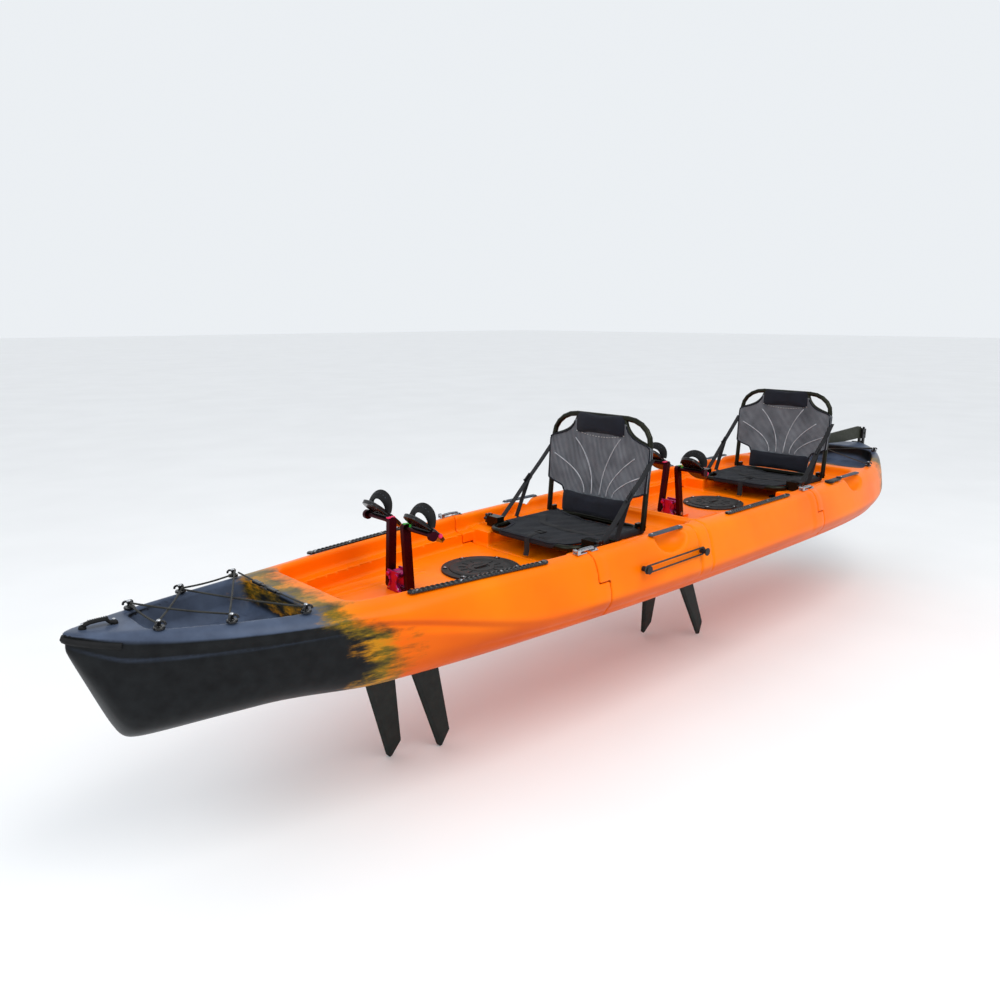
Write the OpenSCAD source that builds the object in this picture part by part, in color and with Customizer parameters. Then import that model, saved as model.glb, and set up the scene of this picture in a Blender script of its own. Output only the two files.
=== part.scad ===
// Tandem sit-on-top kayak in three plug-together hull modules.
// Two fin drives, two tube-frame mesh seats and a lift-up rudder.
// Millimetres. +X is the bow, +Y is port, +Z is up, z = 0 is the flat of the keel.

/* [Hull] */
// Distance between the two seams, and between the two cockpits
module_length = 1430; // [1200:10:1700]
// From the forward seam to the bow tip
bow_length = 1435; // [1300:5:1600]
// From the aft seam to the stern end
stern_length = 1335; // [1250:5:1500]
// Greatest width of the hull
hull_beam = 870; // [780:5:1000]
// Keel to gunwale amidships
hull_depth = 280; // [250:5:330]
// Moulded wall thickness
wall = 6; // [4:0.5:8]
// How much the gunwale rises at the bow and stern
sheer_rise = 30; // [0:5:60]
// Clear gap between two modules
seam_gap = 2; // [1:0.5:4]
// How far the lower half of a seam steps aft
seam_step = 50; // [20:5:80]

/* [Cockpits] */
// Height of the footwell floor
floor_z = 180; // [160:2:200]
// Height of the seat ledges and the deck behind each seat
ledge_z = 232; // [215:1:245]
// Width of the flat gunwale beside a cockpit
rim_width = 58; // [45:1:70]
// Half width of the footwell between the seat ledges
footwell_half = 190; // [150:5:196]

/* [Hatches] */
// Centre of a hatch ahead of its seam
hatch_x = 150; // [145:5:220]
// Outer radius of a hatch ring
hatch_radius = 133; // [100:1:135]
// Radius of a hatch lid
lid_radius = 108; // [80:1:112]

/* [Pedal drive] */
// Drive bracket ahead of its seam
drive_x = 487; // [440:1:520]
// Height of the pedal arm pivot
crank_z = 200; // [195:1:215]
// Pedal arm pivot to pedal axle
arm_length = 195; // [160:5:240]
// Half the distance between the two pedal arms
arm_y = 48; // [40:1:60]
// Lean of the front pair of arms at rest, degrees
front_phase = 3; // [0:1:12]
// Lean of the rear pair of arms at rest, degrees
rear_phase = 9; // [0:1:12]
// Fin swing for each degree of pedal arm
fin_ratio = 1.5; // [1:0.1:2]
// Fore fin shaft ahead of the pedal arm pivot
fore_fin_x = 150; // [140:1:170]
// Aft fin shaft behind the pedal arm pivot
aft_fin_x = 10; // [0:1:20]
// Height of the fin shaft
fin_shaft_z = 12; // [8:1:20]
// Rake of the fin masts, degrees
fin_rake = 17; // [0:1:20]
// Fin shaft to fin tip
fin_length = 400; // [300:5:450]
// Chord of a fin at its root
fin_chord = 118; // [80:1:122]

/* [Seats] */
// Front tube of the seat base behind its seam
seat_front_x = 75; // [60:1:100]
// Length of the seat base
seat_length = 398; // [360:2:420]
// Centre line of the seat base rails
rail_y = 206; // [200:1:212]
// Seat tube radius
tube_radius = 11; // [9:0.5:12]
// Back hinge behind its seam
hinge_x = 436; // [420:1:445]
// Centre line of the back tubes
back_y = 230; // [226:1:250]
// Height of the top of the back
back_top_z = 656; // [560:2:720]
// Lean of the back, degrees
back_lean = 5; // [0:1:15]

/* [Rudder] */
// Rudder blade pivot above the hull depth
blade_rise = 72; // [65:1:90]
// Blade length from its pivot
blade_length = 460; // [350:5:500]
// Blade width
blade_width = 70; // [50:1:80]

/* [Hidden] */

blade_z = hull_depth + blade_rise;
$fn = 32;

front_seam = module_length / 2;
rear_seam = -module_length / 2;
bow_x = front_seam + bow_length;
stern_x = rear_seam - stern_length;
seam_step_z = floor_z + 5;
widest_x = -600;
run_fit = 0.05;
cloth_fit = 0.3;
seat_fit = 0.3;
nose_half = 8;
stern_half = 30;
stem_run = 110;
forefoot_z = 8;
top_ratio = 0.9;
sheer_start = 1400;

// Fullness of the waterlines towards each end, 0 amidships to 1 at the tip
function bow_reach(x) = max(0, min(1, (x - widest_x) / (bow_x - widest_x)));
function stern_reach(x) = max(0, min(1, (widest_x - x) / (widest_x - stern_x)));
function half_beam(x) = x > widest_x
    ? max(nose_half, hull_beam / 2 * pow(1 - pow(bow_reach(x), 3), 0.72))
    : max(stern_half, hull_beam / 2 * pow(1 - pow(stern_reach(x), 3), 0.6));
function top_half(x) = top_ratio * half_beam(x);
function end_run(x) = max(0, (x - sheer_start) / (bow_x - sheer_start), (-x - sheer_start) / (-stern_x - sheer_start));
function gunwale_z(x) = hull_depth + sheer_rise * pow(end_run(x), 2);
function stem_reach(x) = max(0, x - bow_x + stem_run, stern_x + stem_run - x) / stem_run;
function keel_z(x) = forefoot_z * pow(min(1, end_run(x)), 2) + (hull_depth - 60) * pow(stem_reach(x), 1.2);
function widest_ratio(x) = 0.45 + 0.45 * pow(bow_reach(x), 4);
function cockpit_half(x) = top_half(x) - rim_width;

// One side of a hull section, from the keel up to the gunwale
function half_section(b, t, k, h, w) = [
    [0.5 * b, k],
    [0.86 * b, k + 0.1 * h],
    [0.975 * b, k + 0.6 * w * h],
    [b, k + w * h],
    [t + 0.35 * (b - t), k + 0.9 * h],
    [t, k + 0.97 * h],
    [t - min(14, t / 3), k + h]
];
function mirrored(side) = [for (i = [len(side) - 1:-1:0]) [-side[i][0], side[i][1]]];
function section(x, inset) = let (
    b = half_beam(x) - inset,
    k = keel_z(x) + inset,
    h = gunwale_z(x) - inset - k,
    side = half_section(b, top_half(x) - inset, k, h, widest_ratio(x))
) concat(side, mirrored(side));

// Outer y of the hull side at a height above the widest line
function side_y(x, z) = let (
    b = half_beam(x),
    t = top_half(x),
    z0 = keel_z(x) + widest_ratio(x) * (gunwale_z(x) - keel_z(x)),
    z1 = keel_z(x) + 0.9 * (gunwale_z(x) - keel_z(x))
) b - 0.65 * (b - t) * (z - z0) / (z1 - z0);

module slab(x, inset) {
    translate([x, 0, 0])
        rotate([90, 0, 90])
            linear_extrude(1)
                polygon(section(x, inset));
}

module hull_chain(xs, inset) {
    for (i = [0:len(xs) - 2])
        hull() {
            slab(xs[i], inset);
            slab(xs[i + 1], inset);
        }
}

// Prism that covers a plan outline and a side profile at once
module well(plan, profile) {
    intersection() {
        linear_extrude(hull_depth * 2)
            polygon(plan);
        rotate([90, 0, 0])
            translate([0, 0, -hull_beam])
                linear_extrude(2 * hull_beam)
                    polygon(profile);
    }
}

// Plan outline that follows the gunwale at a fixed distance inside it
function rim_plan(x0, x1, inside, steps) = let (
    xs = [for (i = [0:steps]) x0 + (x1 - x0) * i / steps]
) concat(
    [for (x = xs) [x, top_half(x) - inside]],
    [for (i = [steps:-1:0]) [xs[i], inside - top_half(xs[i])]]
);

cockpit_fore = 800;
cockpit_aft = 600;
top_z = 2 * hull_depth;

module cockpit_well(seam, grow) {
    well(
        rim_plan(seam - cockpit_aft - grow, seam + cockpit_fore + grow, rim_width - grow, 8),
        [
            [seam + cockpit_fore + grow, top_z],
            [seam + cockpit_fore + grow, ledge_z - grow],
            [seam + cockpit_fore - 95 + grow, floor_z - grow],
            [seam - 300 - grow, floor_z - grow],
            [seam - 330 - grow, ledge_z - grow],
            [seam - cockpit_aft - grow, ledge_z - grow],
            [seam - cockpit_aft - grow, top_z]
        ]
    );
}

module seat_ledges(seam) {
    for (side = [-1, 1])
        translate([seam - 330, side > 0 ? footwell_half : -hull_beam / 2, floor_z - wall])
            cube([270, hull_beam / 2 - footwell_half, ledge_z - floor_z + wall]);
}

module drive_slot(seam, grow) {
    slot_half = 42 + grow;
    translate([seam + drive_x - 60 - grow, -slot_half, -10])
        cube([260 + 2 * grow, 2 * slot_half, floor_z + 20]);
}

bow_well_aft = front_seam + 905;
bow_well_fore = bow_x - 165;

module bow_well(grow) {
    well(
        rim_plan(bow_well_aft - grow, bow_well_fore + grow, 34 - grow, 5),
        [
            [bow_well_aft - grow, top_z],
            [bow_well_aft - grow, floor_z + 10 - grow],
            [bow_well_fore - 60 + grow, floor_z + 30 - grow],
            [bow_well_fore + grow, hull_depth - 20],
            [bow_well_fore + grow, top_z]
        ]
    );
}

stern_well_fore = rear_seam - 665;
stern_well_aft = stern_x + 130;

module stern_well(grow) {
    well(
        rim_plan(stern_well_aft - grow, stern_well_fore + grow, 42 - grow, 6),
        [
            [stern_well_fore + grow, top_z],
            [stern_well_fore + grow, floor_z + 30 - grow],
            [stern_well_aft - grow, floor_z + 45 - grow],
            [stern_well_aft - grow, top_z]
        ]
    );
}

grip_back = [395, 440];
grip_length = 190;
recess_length = 150;

function grip_x(seam) = seam - (seam > 0 ? grip_back[0] : grip_back[1]);

module grip_recess(seam, grow) {
    x = grip_x(seam);
    for (side = [-1, 1])
        translate([x - recess_length / 2 - grow, side * top_half(x) - 45 - grow, hull_depth - 62 - grow])
            cube([recess_length + 2 * grow, 110 + 2 * grow, 120]);
}

module hatch_hole(seam) {
    translate([seam + hatch_x, 0, floor_z - 30])
        cylinder(r = lid_radius + 10, h = 60, $fn = 64);
}

module bow_hull() {
    xs = concat(
        [front_seam - seam_step],
        [for (i = [1:8]) front_seam - seam_step + (bow_x - stem_run - front_seam + seam_step) * sqrt(i / 8)],
        [bow_x - stem_run * 0.55, bow_x - 1]
    );
    inner = concat(
        [front_seam + wall],
        [for (i = [1:8]) front_seam + wall + (bow_x - stem_run - wall - front_seam) * sqrt(i / 8) - wall]
    );
    color([0.13, 0.12, 0.1])
        difference() {
            hull_chain(xs, 0);
            difference() {
                hull_chain(inner, wall);
                cockpit_well(front_seam, wall);
                drive_slot(front_seam, wall);
                bow_well(wall);
            }
            difference() {
                cockpit_well(front_seam, 0);
                seat_ledges(front_seam);
            }
            drive_slot(front_seam, 0);
            bow_well(0);
            hatch_hole(front_seam);
            translate([front_seam - seam_step - 1, -hull_beam, seam_step_z])
                cube([seam_step + 1, 2 * hull_beam, top_z]);
        }
}

module mid_hull() {
    fore = front_seam - seam_gap;
    aft = rear_seam - seam_step;
    xs = [for (i = [0:10]) aft + (fore - 1 - aft) * i / 10];
    inner = [for (i = [0:8]) rear_seam + wall + (module_length - seam_step - 3 * wall) * i / 8];
    color([1, 0.42, 0.02])
        difference() {
            hull_chain(xs, 0);
            difference() {
                hull_chain(inner, wall);
                for (seam = [front_seam, rear_seam])
                    cockpit_well(seam, wall);
                drive_slot(rear_seam, wall);
                grip_recess(front_seam, wall);
            }
            for (seam = [front_seam, rear_seam])
                difference() {
                    cockpit_well(seam, 0);
                    seat_ledges(seam);
                }
            drive_slot(rear_seam, 0);
            grip_recess(front_seam, 0);
            hatch_hole(rear_seam);
            translate([aft - 1, -hull_beam, seam_step_z])
                cube([seam_step + 1, 2 * hull_beam, top_z]);
            translate([front_seam - seam_step - seam_gap, -hull_beam, -10])
                cube([seam_step + 10, 2 * hull_beam, seam_step_z + seam_gap + 10]);
        }
}

module stern_hull() {
    fore = rear_seam - seam_gap;
    xs = concat(
        [stern_x, stern_x + stem_run * 0.45],
        [for (i = [0:7]) stern_x + stem_run + (fore - 1 - stern_x - stem_run) * (1 - sqrt(1 - i / 7))]
    );
    inner_fore = rear_seam - seam_step - 2 * wall;
    inner = [for (i = [0:7]) stern_x + stem_run + wall
        + (inner_fore - stern_x - stem_run - wall) * (1 - sqrt(1 - i / 7))];
    color([1, 0.42, 0.02])
        difference() {
            hull_chain(xs, 0);
            difference() {
                hull_chain(inner, wall);
                cockpit_well(rear_seam, wall);
                stern_well(wall);
                grip_recess(rear_seam, wall);
            }
            difference() {
                cockpit_well(rear_seam, 0);
                seat_ledges(rear_seam);
            }
            stern_well(0);
            grip_recess(rear_seam, 0);
            translate([rear_seam - drain_x, drain_y, floor_z - 30])
                cylinder(r = drain_radius + run_fit, h = 60);
            translate([rear_seam - seam_step - seam_gap, -hull_beam, -10])
                cube([seam_step + 10, 2 * hull_beam, seam_step_z + seam_gap + 10]);
        }
}

drain_x = 170;
drain_y = 120;
drain_radius = 11;

module drain_plug() {
    color([0.1, 0.1, 0.1])
        translate([rear_seam - drain_x, drain_y, 0]) {
            translate([0, 0, floor_z - 14])
                cylinder(r = drain_radius, h = 14);
            translate([0, 0, floor_z])
                cylinder(r = drain_radius + 6, h = 5);
            translate([-3, -drain_radius, floor_z + 5])
                cube([6, 2 * drain_radius, 6]);
        }
}

latch_y = 30;
latch_width = 22;
latch_plate = 3;
latch_pin_z = 10;
latch_pin = 3;

module latch_place(seam, side) {
    translate([seam, side * (top_half(seam) - latch_y), hull_depth])
        children();
}

module latch_bases() {
    color([0.75, 0.76, 0.78])
        for (seam = [front_seam, rear_seam], side = [-1, 1])
            latch_place(seam, side) {
                translate([8, -latch_width / 2, 0])
                    cube([44, latch_width, latch_plate]);
                for (y = [-latch_width / 2, latch_width / 2 - 3])
                    translate([38, y, latch_plate - 0.5])
                        cube([14, 3, latch_pin_z + 3]);
                translate([45, latch_width / 2, latch_pin_z])
                    rotate([90, 0, 0])
                        cylinder(r = latch_pin, h = latch_width);
                translate([-48, -latch_width / 2, 0])
                    cube([34, latch_width, latch_plate]);
                translate([-40, -latch_width / 2, latch_plate - 0.5])
                    cube([8, latch_width, 6]);
            }
}

module latch_levers(seam) {
    lever_half = latch_width / 2 - 3.5;
    color([0.82, 0.83, 0.85])
        for (side = [-1, 1])
            latch_place(seam, side)
                difference() {
                    union() {
                        translate([45, lever_half, latch_pin_z])
                            rotate([90, 0, 0])
                                cylinder(r = latch_pin + 2.4, h = 2 * lever_half);
                        translate([-28, -lever_half, latch_pin_z - 1.5])
                            cube([70, 2 * lever_half, 3]);
                        translate([-28, -lever_half, latch_pin_z - 4])
                            cube([4, 2 * lever_half, 4]);
                    }
                    translate([45, latch_width, latch_pin_z])
                        rotate([90, 0, 0])
                            cylinder(r = latch_pin + run_fit, h = 2 * latch_width);
                }
}

module latch_levers_fore() {
    latch_levers(front_seam);
}

module latch_levers_aft() {
    latch_levers(rear_seam);
}

track_fore = 641;
track_length = 462;
track_width = 28;
track_height = 9;
track_inset = 26;

module gear_track() {
    difference() {
        translate([0, -track_width / 2, 0])
            cube([track_length, track_width, track_height]);
        translate([-1, -4, 3])
            cube([track_length + 2, 8, track_height]);
        translate([-1, -8, 3])
            cube([track_length + 2, 16, 3]);
    }
}

module gear_tracks() {
    color([0.08, 0.08, 0.08])
        for (seam = [front_seam, rear_seam], side = [-1, 1]) {
            x0 = seam + track_fore - track_length;
            y0 = top_half(x0) - track_inset;
            y1 = top_half(seam + track_fore) - track_inset;
            translate([x0, side * y0, hull_depth])
                rotate([0, 0, side * atan2(y1 - y0, track_length)])
                    gear_track();
        }
}

hook_base = 14;
hook_stem = 4;
hook_height = 20;
cord_radius = 3;
hook_inset = 24;
bend_swell = 0.2;
bow_hooks = [bow_x - 183, bow_x - 335, bow_x - 508];
stern_hooks = [stern_well_aft + 60, stern_well_fore - 90];

// Height of the highest deck point under a part of some half length
function seat_z(x, reach) = max(gunwale_z(x - reach), gunwale_z(x + reach)) + 0.4;

module deck_hook(x, side) {
    translate([x, side * (top_half(x) - hook_inset), seat_z(x, hook_base)]) {
        cylinder(r = hook_base, h = 4);
        cylinder(r = hook_stem, h = hook_height);
        translate([0, 0, hook_height])
            cylinder(r = hook_base - 4, h = 3);
    }
}

module deck_hooks() {
    color([0.1, 0.1, 0.11])
        for (x = concat(bow_hooks, stern_hooks), side = [-1, 1])
            deck_hook(x, side);
}

// Round bar along a list of points, with a slightly fuller ball at each bend
module bar(points, radius) {
    last = len(points) - 1;
    closed = norm(points[0] - points[last]) < 0.01;
    for (i = [0:last - 1]) {
        way = points[i + 1] - points[i];
        translate(points[i])
            rotate([0, atan2(norm([way[0], way[1]]), way[2]), atan2(way[1], way[0])])
                cylinder(r = radius, h = norm(way));
    }
    for (i = [closed ? 0 : 1:last - 1])
        translate(points[i])
            sphere(r = radius + bend_swell);
}

// A cord bends on the inboard side of each hook stem
function cord_point(x, side, lift) = [
    x,
    side * (top_half(x) - hook_inset - hook_stem - cord_radius - bend_swell - cloth_fit),
    seat_z(x, hook_base) + 8 + lift
];

// Crossing runs pass one above the other
cord_lift = 7;

module deck_bungees() {
    b = bow_hooks;
    s = stern_hooks;
    color([0.07, 0.07, 0.08]) {
        bar([
            cord_point(b[2], 1, 0), cord_point(b[1], -1, 0), cord_point(b[0], 1, 0),
            cord_point(b[0], -1, cord_lift), cord_point(b[1], 1, cord_lift),
            cord_point(b[2], -1, cord_lift)
        ], cord_radius);
        bar([
            cord_point(s[1], 1, 0), cord_point(s[0], -1, 0),
            cord_point(s[0], 1, cord_lift), cord_point(s[1], -1, cord_lift)
        ], cord_radius);
    }
}

handle_fore = 42;
handle_aft = 118;

handle_z = seat_z(bow_x - handle_fore, 9) + 18;

module bow_handle() {
    color([0.12, 0.12, 0.13]) {
        for (x = [bow_x - handle_aft, bow_x - handle_fore]) {
            foot_z = seat_z(x, 9);
            translate([x - 9, -9, foot_z])
                cube([18, 18, handle_z - foot_z]);
        }
        translate([bow_x - handle_aft - 9, -9, handle_z - 8])
            cube([handle_aft - handle_fore + 18, 18, 8]);
    }
}

grip_width = 26;
grip_height = 8;

module side_grips() {
    color([0.3, 0.33, 0.38])
        for (seam = [front_seam, rear_seam], side = [-1, 1]) {
            x = grip_x(seam);
            translate([x - grip_length / 2, side * (top_half(x) - 24) - grip_width / 2, hull_depth])
                cube([grip_length, grip_width, grip_height]);
        }
}

module screw_head() {
    difference() {
        cylinder(r = 5, h = 2.5);
        translate([-3.5, -0.6, 1.3])
            cube([7, 1.2, 2]);
    }
}

module deck_screws() {
    color([0.7, 0.7, 0.72]) {
        for (x = [bow_x - handle_aft, bow_x - handle_fore])
            translate([x, 0, handle_z])
                screw_head();
        for (seam = [front_seam, rear_seam], side = [-1, 1], end = [-1, 1]) {
            x = grip_x(seam);
            translate([x + end * (grip_length / 2 - 9), side * (top_half(x) - 24), hull_depth + grip_height])
                screw_head();
        }
        for (seam = [front_seam, rear_seam], i = [0:5])
            translate([seam + hatch_x, 0, floor_z + ring_height])
                rotate([0, 0, 60 * i + 15])
                    translate([(hatch_radius + lid_radius) / 2 + 1, 0, 0])
                        screw_head();
    }
}

button_fore = 208;
button_aft = 532;
button_z = 196;
button_radius = 9;
button_height = 26;

// The button foot meets the widest part of the hull it covers
function button_y(x) = side_y(x - button_radius, button_z - button_radius);

module paddle_buttons() {
    color([0.12, 0.12, 0.13])
        for (x = [front_seam - button_fore, front_seam - button_aft], side = [-1, 1])
            translate([x, side * button_y(x), button_z])
                rotate([-side * 90, 0, 0]) {
                    cylinder(r = button_radius, h = button_height);
                    translate([0, 0, button_height])
                        cylinder(r = button_radius + 5, h = 3);
                }
}

// An endless cord looped round two buttons
module cord_loop(run, loop) {
    for (z = [-loop, loop])
        translate([-run / 2, 0, z])
            rotate([0, 90, 0])
                cylinder(r = cord_radius, h = run);
    for (end = [-1, 1])
        translate([end * run / 2, 0, 0])
            rotate([90, 0, 0])
                rotate([0, 0, -end * 90])
                    rotate_extrude(angle = 180)
                        translate([loop, 0])
                            circle(r = cord_radius);
}

module paddle_bungees() {
    fore_x = front_seam - button_fore;
    aft_x = front_seam - button_aft;
    y = (button_y(fore_x) + button_y(aft_x) + button_height) / 2;
    color([0.1, 0.1, 0.1])
        for (side = [-1, 1])
            translate([(fore_x + aft_x) / 2, side * y, button_z])
                cord_loop(fore_x - aft_x, button_radius + cord_radius + cloth_fit);
}

ring_height = 7;

module hatch_rings() {
    color([0.12, 0.13, 0.13])
        for (seam = [front_seam, rear_seam])
            translate([seam + hatch_x, 0, floor_z])
                difference() {
                    union() {
                        cylinder(r = hatch_radius, h = ring_height, $fn = 64);
                        translate([0, 0, -12])
                            cylinder(r = lid_radius + 10 - cloth_fit, h = 13, $fn = 64);
                    }
                    translate([0, 0, -4])
                        cylinder(r = lid_radius + run_fit, h = 20, $fn = 64);
                    translate([0, 0, -20])
                        cylinder(r = lid_radius - 10, h = 40, $fn = 64);
                }
}

module hatch_lid(seam) {
    color([0.16, 0.17, 0.17])
        translate([seam + hatch_x, 0, floor_z])
            difference() {
                union() {
                    translate([0, 0, -3.9])
                        cylinder(r = lid_radius, h = 11.9, $fn = 64);
                    for (i = [0:5])
                        rotate([0, 0, 60 * i + 45])
                            translate([lid_radius - 16, -9, 7])
                                cube([12, 18, 5]);
                }
                translate([0, 0, 5])
                    difference() {
                        cylinder(r = lid_radius - 24, h = 10, $fn = 64);
                        translate([-50, -7, -1])
                            cube([100, 14, 12]);
                    }
            }
}

module front_hatch_lid() {
    hatch_lid(front_seam);
}

module rear_hatch_lid() {
    hatch_lid(rear_seam);
}

shaft_radius = 7;
base_half = 34;

module drive_place(seam) {
    translate([seam + drive_x, 0, 0])
        children();
}

plate_top = floor_z + 8;

module crank_shafts() {
    reach = arm_y + 10;
    color([0.7, 0.7, 0.72])
        for (seam = [front_seam, rear_seam])
            drive_place(seam)
                translate([0, reach, crank_z])
                    rotate([90, 0, 0])
                        cylinder(r = shaft_radius, h = 2 * reach);
}

module drive_base(seam) {
    color([0.65, 0.08, 0.35])
        drive_place(seam)
            difference() {
                union() {
                    translate([-26, -base_half, plate_top])
                        cube([52, 2 * base_half, 7]);
                    translate([-13, -24, plate_top])
                        cube([26, 48, 52]);
                    translate([-14, -base_half, plate_top + 52])
                        cube([28, 2 * base_half, 14]);
                }
                translate([0, hull_beam, crank_z])
                    rotate([90, 0, 0])
                        cylinder(r = shaft_radius + run_fit, h = 2 * hull_beam);
                for (side = [-1, 1])
                    translate([-14, side * 30, plate_top + 31])
                        rotate([0, 90, 0])
                            cylinder(r = 15, h = 40);
                translate([-20, -9, plate_top + 24])
                    cube([40, 18, 22]);
            }
}

fin_lug = 14;
shaft_dia_fin = 10;

module drive_frame(seam) {
    fore = fore_fin_x + 30;
    aft = -aft_fin_x - 30;
    color([0.12, 0.12, 0.13])
        drive_place(seam) {
            difference() {
                translate([aft - 20, -52, floor_z])
                    cube([fore - aft + 40, 104, plate_top - floor_z]);
                for (side = [-1, 1])
                    translate([-24, side * (arm_y) - 10, floor_z - 1])
                        cube([48, 20, 20]);
            }
            translate([aft, -12, fin_shaft_z + 26])
                cube([fore - aft, 24, floor_z - fin_shaft_z - 25]);
            for (x = [aft, (fore_fin_x - aft_fin_x) / 2 - fin_lug / 2, fore - fin_lug])
                translate([x, -12, fin_shaft_z - 10])
                    cube([fin_lug, 24, 40]);
            translate([aft, 0, fin_shaft_z])
                rotate([0, 90, 0])
                    cylinder(d = shaft_dia_fin, h = fore - aft);
        }
}

pad_length = 150;
pad_width = 95;
pad_thick = 12;
pad_tilt = 35;
pedal_y = 118;
axle_radius = 6;

// Pose of a pedal arm, forward for positive lean
module arm_pose(seam, lean) {
    drive_place(seam)
        translate([0, 0, crank_z])
            rotate([0, lean, 0])
                children();
}

module pedal_arm(seam, side, lean) {
    color([0.2, 0.05, 0.08])
        arm_pose(seam, lean)
            difference() {
                union() {
                    translate([-14, side * arm_y - 8, 0])
                        cube([28, 16, arm_length]);
                    for (z = [0, arm_length])
                        translate([0, side * arm_y + 8, z])
                            rotate([90, 0, 0])
                                cylinder(r = 14, h = 16);
                    translate([0, side * arm_y, arm_length])
                        rotate([-side * 90, 0, 0])
                            cylinder(r = axle_radius, h = pedal_y + pad_width / 2 - arm_y + 16);
                    translate([0, side * (pedal_y + pad_width / 2 + 4), arm_length])
                        rotate([-side * 90, 0, 0])
                            cylinder(r = 15, h = 12);
                }
                translate([0, hull_beam, 0])
                    rotate([90, 0, 0])
                        cylinder(r = shaft_radius + run_fit, h = 2 * hull_beam);
            }
}

module pedal_pose(seam, side, lean) {
    arm_pose(seam, lean)
        translate([0, side * pedal_y, arm_length])
            rotate([0, pad_tilt - lean, 0])
                children();
}

module pedal(seam, side, lean) {
    rim = 5;
    color([0.08, 0.08, 0.09])
        pedal_pose(seam, side, lean)
            difference() {
                union() {
                    translate([-pad_thick - 9, -pad_width / 2, -pad_length / 2])
                        cube([pad_thick, pad_width, pad_length]);
                    translate([-pad_thick - 15, -pad_width / 2, -pad_length / 2])
                        cube([8, pad_width, rim * 2]);
                    translate([-10, -pad_width / 2, -13])
                        cube([10, pad_width, 26]);
                    translate([0, pad_width / 2, 0])
                        rotate([90, 0, 0])
                            cylinder(r = 13, h = pad_width);
                }
                translate([0, hull_beam, 0])
                    rotate([90, 0, 0])
                        cylinder(r = axle_radius + run_fit, h = 2 * hull_beam);
                for (z = [-50, 50], y = [-22, 22])
                    translate([-pad_thick - 20, y - 14, z - 14])
                        cube([40, 28, 28]);
            }
}

strap_thick = 3;
strap_rise = 62;

// Band from one edge of the pad, over the foot and down to the other edge
module foot_strap(seam, side, lean) {
    reach = pad_width / 2 + strap_thick;
    color([0.05, 0.05, 0.06])
        pedal_pose(seam, side, lean)
            translate([-pad_thick - 9, 0, 20])
                intersection() {
                    difference() {
                        union() {
                            translate([-strap_rise + reach, 0, 0])
                                cylinder(r = reach, h = 32);
                            translate([-strap_rise + reach, -reach, 0])
                                cube([strap_rise - reach + pad_thick, 2 * reach, 32]);
                        }
                        translate([-strap_rise + reach, 0, -1])
                            cylinder(r = reach - strap_thick, h = 34);
                        translate([-strap_rise + reach, strap_thick - reach, -1])
                            cube([strap_rise, 2 * (reach - strap_thick), 34]);
                    }
                    translate([-strap_rise - 1, -reach - 1, 0])
                        cube([strap_rise + pad_thick + 1, 2 * reach + 2, 32]);
                }
}

drum_radius = 13;
drum_length = 30;
mast_radius = 4;
mast_length = 320;
fin_root = 52;

// Frame of a fin: z runs down the raked mast, x forward, swung about the shaft
module fin_pose(seam, x, swing) {
    drive_place(seam)
        translate([x, 0, fin_shaft_z])
            rotate([swing, 0, 0])
                rotate([0, fin_rake, 0])
                    children();
}

module mast(seam, x, swing) {
    color([0.75, 0.76, 0.78])
        difference() {
            union() {
                drive_place(seam)
                    translate([x - drum_length / 2, 0, fin_shaft_z])
                        rotate([0, 90, 0])
                            cylinder(r = drum_radius, h = drum_length);
                fin_pose(seam, x, swing)
                    translate([0, 0, -mast_length])
                        cylinder(r = mast_radius, h = mast_length);
                fin_pose(seam, x, swing)
                    translate([0, 0, -fin_root + 1])
                        cylinder(r = mast_radius + 4, h = 12);
            }
            drive_place(seam)
                translate([x - drum_length, 0, fin_shaft_z])
                    rotate([0, 90, 0])
                        cylinder(d = shaft_dia_fin + 2 * run_fit, h = 2 * drum_length);
        }
}

fin_lead = 16;

module fin(seam, x, swing) {
    tip = fin_chord * 0.52;
    color([0.1, 0.1, 0.11])
        fin_pose(seam, x, swing)
            difference() {
                intersection() {
                    rotate([90, 0, 0])
                        translate([0, 0, -20])
                            linear_extrude(40)
                                polygon([
                                    [fin_lead, -fin_root],
                                    [fin_lead, -fin_length + 14],
                                    [fin_lead - 7, -fin_length],
                                    [fin_lead - 14, -fin_length],
                                    [fin_lead - tip, -fin_length + 30],
                                    [fin_lead - fin_chord, -fin_root]
                                ]);
                    translate([0, 0, -fin_length - 10])
                        linear_extrude(fin_length + 20)
                            polygon([
                                [fin_lead, 0], [fin_lead - 5, 6], [0, 8], [-22, 7],
                                [-fin_chord, 2.5], [-fin_chord, -2.5],
                                [-22, -7], [0, -8], [fin_lead - 5, -6]
                            ]);
                }
                translate([0, 0, -mast_length - 2])
                    cylinder(r = mast_radius + run_fit, h = mast_length + 10);
            }
}

front_swing = front_phase * fin_ratio;
rear_swing = rear_phase * fin_ratio;

module front_drive_base() {
    drive_base(front_seam);
}

module front_drive_frame() {
    drive_frame(front_seam);
}

module front_arm_port() {
    pedal_arm(front_seam, 1, front_phase);
}

module front_arm_stbd() {
    pedal_arm(front_seam, -1, -front_phase);
}

module front_pedal_port() {
    pedal(front_seam, 1, front_phase);
}

module front_pedal_stbd() {
    pedal(front_seam, -1, -front_phase);
}

module front_foot_strap_port() {
    foot_strap(front_seam, 1, front_phase);
}

module front_foot_strap_stbd() {
    foot_strap(front_seam, -1, -front_phase);
}

module front_fore_mast() {
    mast(front_seam, fore_fin_x, -front_swing);
}

module front_aft_mast() {
    mast(front_seam, -aft_fin_x, front_swing);
}

module front_fore_fin() {
    fin(front_seam, fore_fin_x, -front_swing);
}

module front_aft_fin() {
    fin(front_seam, -aft_fin_x, front_swing);
}

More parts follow.
